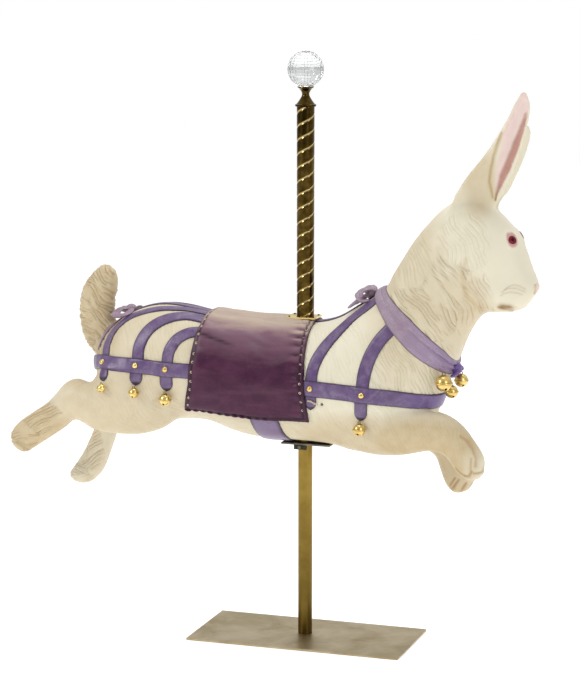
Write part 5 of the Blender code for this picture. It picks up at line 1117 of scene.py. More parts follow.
def band_mesh(name, bands):
    """Closed slabs over the bands' grids, as one mesh with the edge value of painted shade."""
    verts = []
    faces = []
    edge = []
    for strip in bands:
        rows, columns = strip["edge"].shape
        first = len(verts)
        count = rows * columns
        verts += strip["upper"].reshape(-1, 3).tolist() + strip["under"].reshape(-1, 3).tolist()
        # The underside gets the full edge value: painted shade where the band lies on what is beneath
        edge += strip["edge"].reshape(-1).tolist() + [1.0] * count
        last = rows if strip["closed"] else rows - 1
        for i in range(last):
            k = (i + 1) % rows
            for j in range(columns - 1):
                a, b = first + i * columns + j, first + i * columns + j + 1
                c, d = first + k * columns + j + 1, first + k * columns + j
                faces += [(a, b, c, d), (d + count, c + count, b + count, a + count)]
            for j, turn in ((0, 1), (columns - 1, -1)):
                wall = [first + i * columns + j, first + k * columns + j,
                        first + k * columns + j + count, first + i * columns + j + count]
                faces.append(tuple(wall[::turn]))
        if not strip["closed"]:
            for i, turn in ((0, -1), (rows - 1, 1)):
                for j in range(columns - 1):
                    wall = [first + i * columns + j, first + i * columns + j + 1,
                            first + i * columns + j + 1 + count, first + i * columns + j + count]
                    faces.append(tuple(wall[::turn]))
    mesh = bpy.data.meshes.new(name)
    mesh.from_pydata(verts, [], faces)
    paint_values(mesh, edge=np.array(edge))
    bm = bmesh.new()
    bm.from_mesh(mesh)
    bmesh.ops.recalc_face_normals(bm, faces=bm.faces)
    bm.to_mesh(mesh)
    bm.free()
    mesh.shade_smooth()
    mesh.set_sharp_from_angle(angle=math.radians(50))
    return mesh


def across(route):
    """A near-side route on the far side."""
    return [(row[0], -row[1]) + tuple(row[2:]) for row in route]


def around(route):
    """A route from the near flank over or round the figure's middle to the far flank."""
    return list(route) + across(route[-2::-1])


def harness(finish, smooth_tree, figure_tree):
    """Straps first, then the bands that cross over them; each piece is one mesh."""
    def straps(plans, far=False, pointed=False):
        return [band(across(route) if far else route, width, STRAP_THICKNESS, smooth_tree,
                     [figure_tree], pointed=pointed) for route, width in plans]

    front_tabs = ((SHOULDER_TAB, SHOULDER_STRAP_WIDTH), (NECK_TAB, NECK_STRAP_WIDTH))
    front_straps = ((SHOULDER_STRAP, SHOULDER_STRAP_WIDTH), (NECK_STRAP, NECK_STRAP_WIDTH))
    front = []
    rear = []
    for far in (False, True):
        front += straps(front_tabs, far, pointed=True)
        front += straps(front_straps, far)
        rear += straps(CROUP_TABS, far, pointed=True)
        rear += straps(CROUP_STRAPS, far)
    rear += straps([(SPINE_STRAP, SPINE_STRAP_WIDTH)])
    withers = straps([(WITHERS_STRAP, SHOULDER_STRAP_WIDTH)])
    girth = straps([(around(GIRTH), GIRTH_WIDTH)])
    crupper = straps([(around(CRUPPER), CRUPPER_WIDTH)])
    laid = [figure_tree] + [tree_of(band_mesh("laid", bands)) for bands in (front, rear, withers)]
    thick = STRAP_THICKNESS + BAND_LIFT
    front.append(band(around(BREAST_BAND), BREAST_BAND_WIDTH, thick, smooth_tree, laid, columns=11))
    rear.append(band(around(RUMP_BAND), RUMP_BAND_WIDTH, thick, smooth_tree, laid, columns=11))
    made = []
    for name, node_name, bands, slot in (
            ("harness_front_straps", "harness_front", front, "purple_straps"),
            ("harness_rear_straps", "harness_rear", rear, "purple_straps"),
            ("withers_band", "withers_strap", withers, "purple_straps"),
            ("girth_band", "girth", girth, "purple_straps"),
            ("crupper_band", "crupper", crupper, "lavender_ribbon")):
        mesh = band_mesh(name, bands)
        if node_name == "girth":
            paint_values(mesh, faded=np.full(len(mesh.vertices), GIRTH_FADING))
        piece = placed(name, mesh, finish, slot)
        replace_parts(piece, node_name)
        made.append(piece)
    return made


def placed(name, mesh, finish, slot):
    """A finished piece at the origin, with its finish, riding on the one body."""
    obj = linked(name, mesh)
    mesh.materials.clear()
    mesh.materials.append(finish[slot])
    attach(obj, "root")
    return obj


RIBBON_CREASE = 0.0036
RIBBON_SWELL = 0.0018
RIBBON_GATHERS = 0.0030


def ribbon_folds(along, share):
    """A crease along the ribbon's upper third, and gathers where it runs into the knot."""
    near_knot = np.exp(-((along - 0.5) / 0.13) ** 2)
    crease = -RIBBON_CREASE * np.exp(-((share - 0.42 + 0.5 * np.abs(along - 0.5)) / 0.09) ** 2)
    swell = RIBBON_SWELL * np.cos((share + 0.25) * math.pi / 1.3)
    gathers = RIBBON_GATHERS * near_knot * np.cos(share * 3.5 * math.pi)
    return crease + swell + gathers


def neck_ribbon(finish, smooth_tree, trees):
    """The broad ribbon, closed round the neck over the straps."""
    loop = band(around(RIBBON)[:-1], 0.0, RIBBON_THICKNESS, smooth_tree, trees, columns=19,
                closed=True, relief_of=ribbon_folds)
    piece = placed("neck_ribbon_loop", band_mesh("neck_ribbon_loop", [loop]), finish, "lavender_ribbon")
    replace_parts(piece, "neck_ribbon")
    return piece


# The saddle pad

PAD_STEP = 0.0045
PAD_CROWN = 0.0045
LACING_PITCH = 0.024
LACING_MARGIN = 0.012
EYELETS_FROM_FRONT = 0.011
EYELETS_FROM_REAR = 0.008
THONG_PITCH = 0.022
THONGS_ALONG = 0.72
HEM = 0.010
HEM_GROOVE = 0.0022
PUCKER_DEPTH = 0.0042
PLEAT_RISE = 0.0030
FOLD_RISE = 0.0026
FOLD_PITCH = 0.052
DEEP_FOLD = 0.0034
SCALLOP_RISE = 0.0010
SCALLOP_PITCH = 0.012


def pad_grid(smooth_tree, figure_tree, laid):
    """The pad over the back: places on the skin, ways out, and its own measures at each point."""
    edges = np.array(PAD_EDGES)
    far_turn = edges[-1, 0]
    arc = 2 * math.radians(far_turn) * PAD_RADIUS * CM
    rows = round(arc / PAD_STEP)
    columns = round((edges[0, 2] - edges[0, 1]) * CM / PAD_STEP)
    turns = np.linspace(-far_turn, far_turn, rows)
    spots = np.empty((rows, columns, 3))
    ways = np.empty((rows, columns, 3))
    height = np.empty((rows, columns))
    for i, turn in enumerate(turns):
        rear = np.interp(abs(turn), edges[:, 0], edges[:, 1])
        front = np.interp(abs(turn), edges[:, 0], edges[:, 2])
        angle = math.radians(turn)
        out = Vector((0.0, math.sin(angle), math.cos(angle)))
        for j, x in enumerate(np.linspace(rear, front, columns)):
            spot, normal, _, _ = smooth_tree.ray_cast(Vector(at(x, 0.0, PAD_AXIS_HEIGHT)), out)
            spots[i, j], ways[i, j] = spot, normal
            height[i, j] = height_over([figure_tree] + laid, np.array(spot), np.array(normal), 0.02)
    steps = np.linalg.norm(np.diff(spots, axis=0), axis=2)
    down = np.concatenate([np.zeros((1, columns)), np.cumsum(steps, axis=0)])
    strides = np.linalg.norm(np.diff(spots, axis=1), axis=2)
    forward = np.concatenate([np.zeros((rows, 1)), np.cumsum(strides, axis=1)], axis=1)
    return {"spots": spots, "ways": ways, "height": height, "down": down, "forward": forward}


def pad_heights(grid):
    """How thick the pad is at each point: crown, hem, lacing puckers and the soft folds on top."""
    down = grid["down"]
    from_rear = grid["forward"]
    half_arc = down[-1:] / 2
    from_side = np.minimum(down, down[-1:] - down)
    to_front = from_rear[:, -1:] - from_rear
    rim = np.minimum.reduce([from_side, to_front, from_rear])
    flank = np.abs(down - half_arc)
    upper = np.clip(1.9 - flank / 0.12, 0, 1)
    crown = PAD_CROWN * (1 - np.exp(-rim / 0.016))
    roll = -HEM_GROOVE * np.exp(-((rim - HEM) / 0.0030) ** 2)
    beat = np.cos(2 * math.pi * flank / LACING_PITCH)
    pulled = np.exp(-((to_front - 0.022) / 0.011) ** 2) * np.clip(0.5 + 0.5 * beat, 0, 1) ** 2
    pleat = -beat * np.exp(-((to_front - 0.020) / 0.022) ** 2) * upper
    sway = 0.010 * np.sin(from_rear / 0.05) + 0.006 * np.sin(from_rear / 0.021 + 1.0)
    folds = FOLD_RISE * np.sin(2 * math.pi * (flank + sway) / FOLD_PITCH) * upper
    fold_line = 0.115 + 0.05 * (from_rear / from_rear[:, -1:])
    at_rear = np.clip((0.13 - from_rear) / 0.05, 0, 1)
    deep = -DEEP_FOLD * np.exp(-((flank - fold_line) / 0.0042) ** 2) * at_rear
    inner = np.clip(rim / 0.02 - 0.6, 0, 1)
    along_hem = np.where(from_side < from_rear, from_rear, down)
    scallop = SCALLOP_RISE * np.cos(2 * math.pi * along_hem / SCALLOP_PITCH)
    scallop = scallop * np.exp(-((rim - 0.004) / 0.005) ** 2)
    thick = PAD_THICKNESS * (0.52 + 0.48 * (1 - np.exp(-rim / 0.005)))
    thick = thick + crown + roll - PUCKER_DEPTH * pulled + (folds + deep) * inner
    thick = thick + PLEAT_RISE * pleat + scallop
    # Worn lighter on top; the pleat term is painted highlight on the puckers' crests and painted shade in
    # their valleys
    worn = np.clip(1.40 - flank / 0.125 + 0.30 * pleat, 0, 1.35)
    # Painted shade: dark in the hem's groove and at the rim, and along the deep fold at the rear
    edge = np.exp(-((rim - HEM) / 0.0026) ** 2) + 0.7 * np.exp(-(rim / 0.0022) ** 2)
    dark = 0.8 * np.exp(-((flank - fold_line) / 0.004) ** 2) * at_rear
    return thick, worn, np.maximum(edge, dark)


def below_plate(upper):
    """The pad's top, pressed flat under the plate that the pole stands on."""
    low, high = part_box("pole_plate")
    away = np.maximum.reduce([low.x - upper[..., 0], upper[..., 0] - high.x,
                              low.y - upper[..., 1], upper[..., 1] - high.y, 0 * upper[..., 0]])
    ceiling = low.z + 0.0022 + np.clip(away - 0.002, 0, None) * 0.8
    level = upper[..., 2]
    upper[..., 2] = np.where(level > low.z - 0.03, np.minimum(level, ceiling), level)
    return upper


def saddle_pad(finish, smooth_tree, figure_tree, laid):
    """The laced leather pad, with its eyelets and whip stitches. Returns the pad."""
    grid = pad_grid(smooth_tree, figure_tree, laid)
    height = softened(np.clip(grid["height"], -0.002, 0.008), 4, False)
    thick, worn, edge = pad_heights(grid)
    upper = below_plate(grid["spots"] + grid["ways"] * (height + thick)[..., None])
    under = grid["spots"] + grid["ways"] * (height - 0.001)[..., None]
    slab = {"upper": upper, "under": under, "edge": edge, "closed": False}
    mesh = band_mesh("saddle_pad_leather", [slab])
    paint_values(mesh, worn=np.concatenate([worn.reshape(-1), 0 * worn.reshape(-1)]))
    pad = placed("saddle_pad_leather", mesh, finish, "plum_leather")
    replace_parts(pad, "saddle_pad")
    eyelets, thongs = lacing_places(upper, grid)
    for name, places, make, slot in (("pad_eyelets", eyelets, eyelet, "lace"),
                                     ("pad_thongs", thongs, thong, "plum_leather")):
        placed(name, repeated(name, places, make, finish[slot]), finish, slot)
    return pad


def lacing_places(upper, grid):
    """Eyelets up both ends of the pad and thongs along its hems: place, way out, way along."""
    down = grid["down"]
    forward = grid["forward"]
    rows, columns = down.shape
    eyelets = []
    thongs = []
    spine = forward[rows // 2]
    for j in (int(np.argmin(np.abs(spine[-1] - spine - EYELETS_FROM_FRONT))),
              int(np.argmin(np.abs(spine - EYELETS_FROM_REAR)))):
        half = down[-1, j] / 2
        count = int(half / LACING_PITCH)
        for want in half + LACING_PITCH * np.arange(-count, count + 1):
            if LACING_MARGIN < want < down[-1, j] - LACING_MARGIN:
                i = int(np.argmin(np.abs(down[:, j] - want)))
                inward = upper[i, max(j - 1, 0)] - upper[i, min(j + 1, columns - 1)]
                eyelets.append((upper[i, j], grid["ways"][i, j], inward))
    for i in (1, rows - 2):
        for want in np.arange(LACING_MARGIN, THONGS_ALONG * forward[i, -1], THONG_PITCH):
            j = int(np.argmin(np.abs(forward[i] - want)))
            thongs.append((upper[i, j], grid["ways"][i, j], upper[i, j + 1] - upper[i, j]))
    return eyelets, thongs


def geometry_tree(name):
    """An empty geometry tree with one mesh in and one mesh out."""
    tree = bpy.data.node_groups.new(name, "GeometryNodeTree")
    tree.interface.new_socket("Geometry", in_out="INPUT", socket_type="NodeSocketGeometry")
    tree.interface.new_socket("Geometry", in_out="OUTPUT", socket_type="NodeSocketGeometry")
    return tree, tree.nodes.new("NodeGroupInput"), tree.nodes.new("NodeGroupOutput")


def named_size(tree, source, name, value):
    """A size as a named input of the tree. Returns its socket on the tree's input node."""
    socket = tree.interface.new_socket(name, in_out="INPUT", socket_type="NodeSocketFloat")
    socket.default_value = value
    return source.outputs[name]


def grown_mesh(name, tree, sink, result, mesh):
    """What a geometry tree makes of a mesh, with its sizes set by their sockets' identifiers."""
    tree.links.new(result, sink.inputs[0])
    obj = linked(name + "_maker", mesh)
    step = obj.modifiers.new("Grow", "NODES")
    step.node_group = tree
    for socket in tree.interface.items_tree:
        if socket.in_out == "INPUT" and socket.socket_type == "NodeSocketFloat":
            step[socket.identifier] = socket.default_value
    made = evaluated(obj)
    bpy.data.objects.remove(obj)
    made.name = name
    return made


def eyelet(tree, source):
    """A small laced eyelet: a ring of hide sunk round a hole."""
    ring = add(tree, "circle", 16, named_size(tree, source, "Ring radius", 0.0026))
    wire = add(tree, "circle", 8, named_size(tree, source, "Lace radius", 0.0011))
    return add(tree, "sweep", ring, wire)


def thong(tree, source):
    """One chunk of the dark thong that binds the hem: a short bowed run of leather."""
    bowed = add(tree, "GeometryNodeCurveQuadraticBezier", named={
        "Resolution": 10, "Start": (-0.0075, 0.0010, -0.0020), "Middle": (0.0, 0.0, 0.0030),
        "End": (0.0075, -0.0010, -0.0020)})
    wire = add(tree, "circle", 10, named_size(tree, source, "Thong radius", 0.0026))
    return add(tree, "sweep", bowed, wire, True)


def repeated(name, places, make, material):
    """One small shape set on every place of a list: its Z to the way out, its X to the way along."""
    mesh = bpy.data.meshes.new(name + "_places")
    mesh.from_pydata([tuple(spot) for spot, _, _ in places], [], [])
    for key, column in (("out", 1), ("along", 2)):
        layer = mesh.attributes.new(key, "FLOAT_VECTOR", "POINT")
        layer.data.foreach_set("vector", np.array([row[column] for row in places], float).reshape(-1))
    tree, source, sink = geometry_tree(name)
    node = partial(add, tree)
    ways = [node("GeometryNodeInputNamedAttribute", named={"Name": key}, data_type="FLOAT_VECTOR")
            for key in ("out", "along")]
    turn = node("FunctionNodeAxesToRotation", *ways, primary_axis="Z", secondary_axis="X")
    spread = node("GeometryNodeInstanceOnPoints", named={
        "Points": source.outputs["Geometry"], "Instance": make(tree, source), "Rotation": turn})
    smooth = node("GeometryNodeSetShadeSmooth", node("GeometryNodeRealizeInstances", spread))
    dressed = node("GeometryNodeSetMaterial", named={"Geometry": smooth, "Material": material})
    return grown_mesh(name, tree, sink, dressed, mesh)


# Bows and knot

BOW_VOXEL = 0.0012
FLUTE_DEPTH = 0.13


def add_petal(bm, points, radii, sides=24, flutes=3.0, flat=0.45):
    """A gathered ribbon loop: a fluted, flattened tube that narrows to both its ends."""
    rows = smooth_path([tuple(p) + (r, 0.0, 0.0) for p, r in zip(points, radii)], 9 * len(points))
    centre = rows[:, :3]
    axis = np.gradient(centre, axis=0)
    turn = np.arange(sides) * 2 * math.pi / sides
    shape = 1 + FLUTE_DEPTH * np.cos(flutes * 2 * turn)
    ends = np.minimum(np.arange(len(rows)), len(rows) - 1 - np.arange(len(rows)))
    taper = np.clip(0.35 + 0.65 * (ends / 3.0), 0, 1)
    loops = []
    for c, t, radius, close in zip(centre, axis, rows[:, 3], taper):
        t = t / np.linalg.norm(t)
        sideways = np.cross(t, (0.0, 0.0, 1.0))
        sideways /= max(np.linalg.norm(sideways), 1e-6)
        lift = np.cross(sideways, t) * flat
        spread = np.outer(shape * np.cos(turn), sideways) + np.outer(shape * np.sin(turn), lift)
        loops.append([bm.verts.new(at(*point)) for point in c + radius * close * spread])
    add_skin(bm, loops)


def bow_piece(name, node_name, loops, heart, finish, slot):
    """A bow's loops and its tied middle, melted into one soft skin."""
    bm = bmesh.new()
    for points, radii in loops:
        add_petal(bm, points, radii)
    add_ball(bm, *heart)
    obj = linked(name + "_rough", as_mesh(name, bm))
    melt = obj.modifiers.new("Melt", "REMESH")
    melt.mode = "VOXEL"
    melt.voxel_size = BOW_VOXEL
    soft = obj.modifiers.new("Soften", "SMOOTH")
    soft.factor = SOFTENING
    soft.iterations = 3
    mesh = evaluated(obj)
    bpy.data.objects.remove(obj)
    mesh.shade_smooth()
    paint_values(mesh, edge=np.zeros(len(mesh.vertices)))
    piece = placed(name, mesh, finish, slot)
    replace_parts(piece, node_name)
    return piece


def bows(finish):
    """The bows on the nape and the croup, alike on both sides, and the knot at the throat."""
    def mirrored(loops):
        return loops + [(across(points), radii) for points, radii in loops]

    for name, node_name, loops, heart, slot in (
            ("nape_bow_loops", "nape_bow", mirrored(NAPE_BOW), NAPE_BOW_HEART, "lavender_ribbon"),
            ("croup_bow_loops", "croup_bow", mirrored(CROUP_BOW), CROUP_BOW_HEART, "lavender_ribbon"),
            ("throat_knot", "ribbon_knot", KNOT, KNOT_HEART, "purple_straps")):
        bow_piece(name, node_name, loops, heart, finish, slot)


# Brass: bells, studs and the pole's parts

MERGE_DISTANCE = 0.00001


def turned(name, profile, sides, ring=False):
    """A solid turned about Z from a profile that runs down its outer side, top to bottom.

    A ring's profile is closed, and goes round its wall.
    """
    mesh = bpy.data.meshes.new(name)
    count = len(profile)
    verts = [(radius, 0.0, level) for radius, level in profile]
    mesh.from_pydata(verts, [(i, (i + 1) % count) for i in range(count if ring else count - 1)], [])
    obj = linked(name + "_profile", mesh)
    spin = obj.modifiers.new("Turn", "SCREW")
    spin.steps = sides
    spin.render_steps = sides
    spin.use_merge_vertices = True
    spin.merge_threshold = MERGE_DISTANCE
    made = evaluated(obj)
    bpy.data.objects.remove(obj)
    bm = bmesh.new()
    bm.from_mesh(made)
    bmesh.ops.remove_doubles(bm, verts=bm.verts, dist=MERGE_DISTANCE)
    bmesh.ops.recalc_face_normals(bm, faces=bm.faces)
    bm.to_mesh(made)
    bm.free()
    made.name = name
    made.shade_smooth()
    made.set_sharp_from_angle(angle=math.radians(32))
    return made


def cut_with(obj, mesh):
    """Cut the mesh out of the object."""
    cutter = linked("cutter", mesh)
    step = obj.modifiers.new("Cut", "BOOLEAN")
    step.operation = "DIFFERENCE"
    step.solver = "EXACT"
    step.object = cutter
    obj.data = evaluated(obj)
    bpy.data.objects.remove(cutter)


def round_bar(radius, length, place, sides=20):
    """A closed round bar, to cut a hole with."""
    bm = bmesh.new()
    bmesh.ops.create_cone(bm, cap_ends=True, segments=sides, radius1=radius, radius2=radius, depth=length,
                          matrix=place)
    return as_mesh("bar", bm)


def unit_bell():
    """A thin sleigh bell of radius 1: girdle, a slot between two holes beneath, a loop, a pea."""
    hollow_radius = 0.93
    loop_radius = 0.20
    wire_radius = 0.06
    pea_radius = 0.22
    outer = [(math.cos(a), math.sin(a)) for a in np.radians(np.linspace(90, 9, 12))]
    girdle = [(1.07, 0.10), (1.09, 0.05), (1.09, -0.05), (1.07, -0.10)]
    lower = [(math.cos(a), math.sin(a)) for a in np.radians(np.linspace(-9, -90, 12))]
    inner = [(hollow_radius * math.cos(a), hollow_radius * math.sin(a))
             for a in np.radians(np.linspace(-90, 90, 16))]
    for points in (outer, lower, inner):
        for index in (0, -1):
            if abs(points[index][0]) < 1e-6:
                points[index] = (0.0, points[index][1])
    shell = linked("bell", turned("bell", outer + girdle + lower, 40))
    hollow = turned("hollow", inner[::-1], 32)
    cut_with(shell, hollow)
    bm = bmesh.new()
    slot_place = Matrix.Translation((0, 0, -1.0)) @ Matrix.Diagonal((0.10, 1.5, 0.9, 1))
    bmesh.ops.create_cube(bm, size=1.0, matrix=slot_place)
    cut_with(shell, as_mesh("slot", bm))
    for side in (-1, 1):
        place = Matrix.Rotation(side * math.radians(52), 4, "X") @ Matrix.Translation((0, 0, -0.9))
        cut_with(shell, round_bar(0.17, 0.6, place))
    bm = bmesh.new()
    bm.from_mesh(shell.data)
    sideways = Vector((0, 1, 0))
    turns = np.arange(8) * math.pi / 4
    loops = []
    for i in range(20):
        angle = 2 * math.pi * i / 20
        out = Vector((math.cos(angle), 0, math.sin(angle)))
        centre = Vector((loop_radius * math.cos(angle), 0, 1.10 + loop_radius * math.sin(angle)))
        ways = [out * math.cos(turn) + sideways * math.sin(turn) for turn in turns]
        loops.append([bm.verts.new(centre + wire_radius * way) for way in ways])
    add_skin(bm, loops + loops[:1], capped=False)
    bmesh.ops.create_icosphere(bm, subdivisions=2, radius=pea_radius,
                               matrix=Matrix.Translation((0, 0, -0.6)))
    bmesh.ops.recalc_face_normals(bm, faces=bm.faces)
    mesh = shell.data.copy()
    bm.to_mesh(mesh)
    bm.free()
    bpy.data.objects.remove(shell)
    mesh.shade_smooth()
    mesh.set_sharp_from_angle(angle=math.radians(32))
    return mesh


# From the bell's foot to the top of its loop, as the solids have it
BELL_HEIGHT_IN_RADII = 2.30


def bells(finish):
    """Every bell where its solid hangs, in its size, with the slot to the viewer."""
    unit = unit_bell()
    places = read_points(unit)
    cut = np.clip((0.99 - np.linalg.norm(places, axis=1)) / 0.04, 0, 1) * (places[:, 2] < 0.95)
    girdle = np.exp(-((np.abs(places[:, 2]) - 0.115) / 0.02) ** 2) * 0.7
    loop = np.clip((places[:, 2] - 0.99) / 0.02, 0, 1) * 0.8
    paint_values(unit, cut=np.maximum.reduce([cut, girdle, loop]))
    for node_name in sorted(n for n in CAD if "bell_" in n):
        low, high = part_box(node_name)
        radius = (high.z - low.z) / BELL_HEIGHT_IN_RADII
        aim = (0, 1 if node_name.endswith("far") else -1, 0)
        if node_name.startswith("throat"):
            aim = THROAT_AIM
        turn = math.atan2(aim[1], aim[0]) + math.pi / 2
        centre = Vector(((low.x + high.x) / 2, (low.y + high.y) / 2, low.z + radius))
        mesh = unit.copy()
        mesh.transform(Matrix.Translation(centre) @ Matrix.Rotation(turn, 4, "Z") @ Matrix.Scale(radius, 4))
        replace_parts(placed("brass_" + node_name, mesh, finish, "bright_brass"), node_name)


def domed(name, radius, height, angles, foot, sides, peak=1.0):
    """A turned nail or screw head: a dome over a short foot that sits in what it holds."""
    rim = [(math.cos(a), peak * math.sin(a)) for a in np.radians(angles)]
    return turned(name, [(r * radius, z * height) for r, z in [(0.0, peak)] + rim + foot], sides)


def uncut(mesh):
    """The mesh, with a stored value that says nothing is cut into it."""
    paint_values(mesh, cut=np.zeros(len(mesh.vertices)))
    return mesh


def aimed(out):
    """The turn that brings a head's Z to the way out."""
    return out.to_track_quat("Z", "Y").to_matrix().to_4x4()


STUD_GAP = 0.0002


def studs(finish, tree):
    """Domed brass nails on the bands, at the solids' places."""
    for node_name in sorted(n for n in CAD if n.startswith("stud_")):
        low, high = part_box(node_name)
        middle = (low + high) / 2
        start = Vector((middle.x, middle.y * 3, middle.z))
        spot, out, _, _ = tree.ray_cast(start, Vector((0, -math.copysign(1, middle.y), 0)))
        if out.dot(start - spot) < 0:
            out = -out
        mesh = domed(node_name, STUD_DIAMETER / 2, STUD_HEIGHT, (75, 60, 45, 30, 15, 4),
                     [(1.0, 0.0), (1.0, -0.25), (0.0, -0.25)], 28)
        mesh.transform(Matrix.Translation(spot + out * STUD_GAP) @ aimed(out))
        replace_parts(placed("brass_" + node_name, uncut(mesh), finish, "bright_brass"), node_name)


def sleeve_mesh(low, high, radius, material):
    """The twisted tube: a grooved round section swept up a line and turned as it rises."""
    tree, source, sink = geometry_tree("Twisted sleeve")
    node = partial(add, tree)
    size = partial(named_size, tree, source)
    tube_radius = size("Radius", radius)
    groove_depth = size("Groove depth", GROOVE_DEPTH)
    groove_share = size("Groove share", GROOVE_WIDTH / SLEEVE_DIAMETER)
    starts = size("Starts", TWIST_STARTS)
    turns = size("Turns", (high - low) / TWIST_LEAD)
    line = node("GeometryNodeCurvePrimitiveLine", named={"Start": (0, 0, low), "End": (0, 0, high)})
    fine = node("GeometryNodeResampleCurve", named={"Curve": line, "Count": SLEEVE_STEPS})
    tilt = node("math", node("along curve"), turns, operation="MULTIPLY")
    tilt = node("math", tilt, 2 * math.pi, operation="MULTIPLY")
    twisted = node("GeometryNodeSetCurveTilt", named={"Curve": fine, "Tilt": tilt})
    beat = node("math", node("along curve"), starts, operation="MULTIPLY")
    beat = node("math", node("math", beat, operation="FRACT"), 0.5, operation="SUBTRACT")
    away = node("math", node("math", beat, operation="ABSOLUTE"), groove_share, operation="DIVIDE")
    dip = node("math", 1.0, away, operation="SUBTRACT", use_clamp=True)
    dip = node("math", dip, 0.7, operation="POWER")
    deep = node("math", dip, groove_depth, operation="MULTIPLY")
    reach = node("math", tube_radius, deep, operation="SUBTRACT")
    scaled = node("ShaderNodeVectorMath", node("GeometryNodeInputPosition"), named={"Scale": reach},
                  operation="SCALE")
    section = node("GeometryNodeSetPosition", named={
        "Geometry": node("circle", SLEEVE_SIDES, 1.0), "Position": scaled})
    # The groove value, which the sleeve's finish paints as a bright highlight
    marked = node("GeometryNodeStoreNamedAttribute", data_type="FLOAT", domain="POINT", named={
        "Geometry": section, "Name": "cut", "Value": dip})
    tube = node("sweep", twisted, marked, True)
    dressed = node("GeometryNodeSetMaterial", named={"Geometry": tube, "Material": material})
    mesh = grown_mesh("sleeve", tree, sink, dressed, bpy.data.meshes.new("sleeve_places"))
    mesh.shade_smooth()
    mesh.set_sharp_from_angle(angle=math.radians(60))
    return mesh


# The finial's outer side: its cup as radius and fall from the top, then its neck as the same
# with the radius in shares of the waist
FINIAL_CUP = [(0.0, 0.003), (0.016, 0.0015), (0.0195, 0.0002), (0.0212, 0.0008), (0.0216, 0.0022),
              (0.0208, 0.0040)]
FINIAL_NECK = [(1.85, 0.006), (1.55, 0.0095), (1.28, 0.013), (1.08, 0.017), (1.0, 0.0205),
               (1.02, 0.0235), (1.16, 0.027), (1.4, 0.031), (1.66, 0.035), (1.95, 0.039),
               (2.25, 0.043), (2.5, 0.0462)]
FINIAL_WAIST = 0.0095
FLANGE_THICKNESS = 0.0060
FLANGE_EDGE = 0.001
PIPE_EDGE = 0.0004
FACET_RIM = 0.0008
FACET_SINK = 0.0005


def pole(finish):
    """The plain pipe, the twisted sleeve over it and the finial with its cut crystal ball."""
    low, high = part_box("pole_pipe")
    outer = PIPE_DIAMETER / 2
    inner = outer - PIPE_WALL
    wall = [(inner, low.z), (inner, high.z), (outer - PIPE_EDGE, high.z), (outer, high.z - PIPE_EDGE),
            (outer, low.z + PIPE_EDGE), (outer - PIPE_EDGE, low.z)]
    tube = turned("stand_pipe", wall, ROUND_SIDES, ring=True)
    paint_values(tube, cut=np.exp(-(read_points(tube)[:, 2] - low.z) / 0.004))
    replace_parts(placed("stand_pipe", tube, finish, "pipe_brass"), "pole_pipe")

    low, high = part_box("pole_sleeve")
    mesh = sleeve_mesh(low.z, high.z, SLEEVE_DIAMETER / 2, finish["aged_brass"])
    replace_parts(placed("twisted_sleeve", mesh, finish, "aged_brass"), "pole_sleeve")

    low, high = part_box("finial")
    base = low.z
    top = base + FINIAL_HEIGHT
    profile = [(radius, top - fall) for radius, fall in FINIAL_CUP]
    profile += [(FINIAL_WAIST * share, top - fall) for share, fall in FINIAL_NECK]
    flange = FLANGE_DIAMETER / 2
    profile += [(flange - FLANGE_EDGE, base + FLANGE_THICKNESS),
                (flange, base + FLANGE_THICKNESS - FLANGE_EDGE), (flange, base + FLANGE_EDGE),
                (flange - FLANGE_EDGE, base), (0.0, base)]
    cup = turned("brass_finial", profile, ROUND_SIDES)
    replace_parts(placed("brass_finial", uncut(cup), finish, "aged_brass"), "finial")

    low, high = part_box("crystal_ball")
    centre = (low + high) / 2
    bm = bmesh.new()
    bmesh.ops.create_uvsphere(bm, u_segments=24, v_segments=14, radius=(high.z - low.z) / 2)
    bmesh.ops.inset_individual(bm, faces=bm.faces[:], thickness=FACET_RIM, depth=-FACET_SINK)
    bmesh.ops.recalc_face_normals(bm, faces=bm.faces)
    ball = bpy.data.meshes.new("cut_crystal_ball")
    bm.to_mesh(ball)
    bm.free()
    ball.transform(Matrix.Translation(centre))
    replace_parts(placed("cut_crystal_ball", ball, finish, "crystal"), "crystal_ball")


# A screw slot's width, and twice its depth
SCREW_SLOT = (0.0011, 0.0016)


def plate_screws(finish):
    """Slotted round-head screws in the corners of the pole's plate."""
    for node_name in sorted(n for n in CAD if n.startswith("plate_screw_")):
        low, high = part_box(node_name)
        radius = (high.x - low.x) / 2
        tall = high.z - low.z
        head = linked("head", domed(node_name, radius, tall, (72, 54, 36, 18, 4),
                                    [(1.0, -0.1), (0.0, -0.1)], 24))
        bm = bmesh.new()
        slot_place = Matrix.Translation((0, 0, tall)) @ Matrix.Diagonal((radius * 3, *SCREW_SLOT, 1))
        bmesh.ops.create_cube(bm, size=1.0, matrix=slot_place)
        cut_with(head, as_mesh("slot", bm))
        mesh = head.data.copy()
        bpy.data.objects.remove(head)
        foot = Matrix.Translation(((low.x + high.x) / 2, (low.y + high.y) / 2, low.z))
        mesh.transform(foot @ Matrix.Rotation(0.7 * int(node_name[-1]), 4, "Z"))
        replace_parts(placed("slotted_" + node_name, uncut(mesh), finish, "aged_brass"), node_name)


EYE_FLATTENING = 0.85
PUPIL_EDGE = 0.93


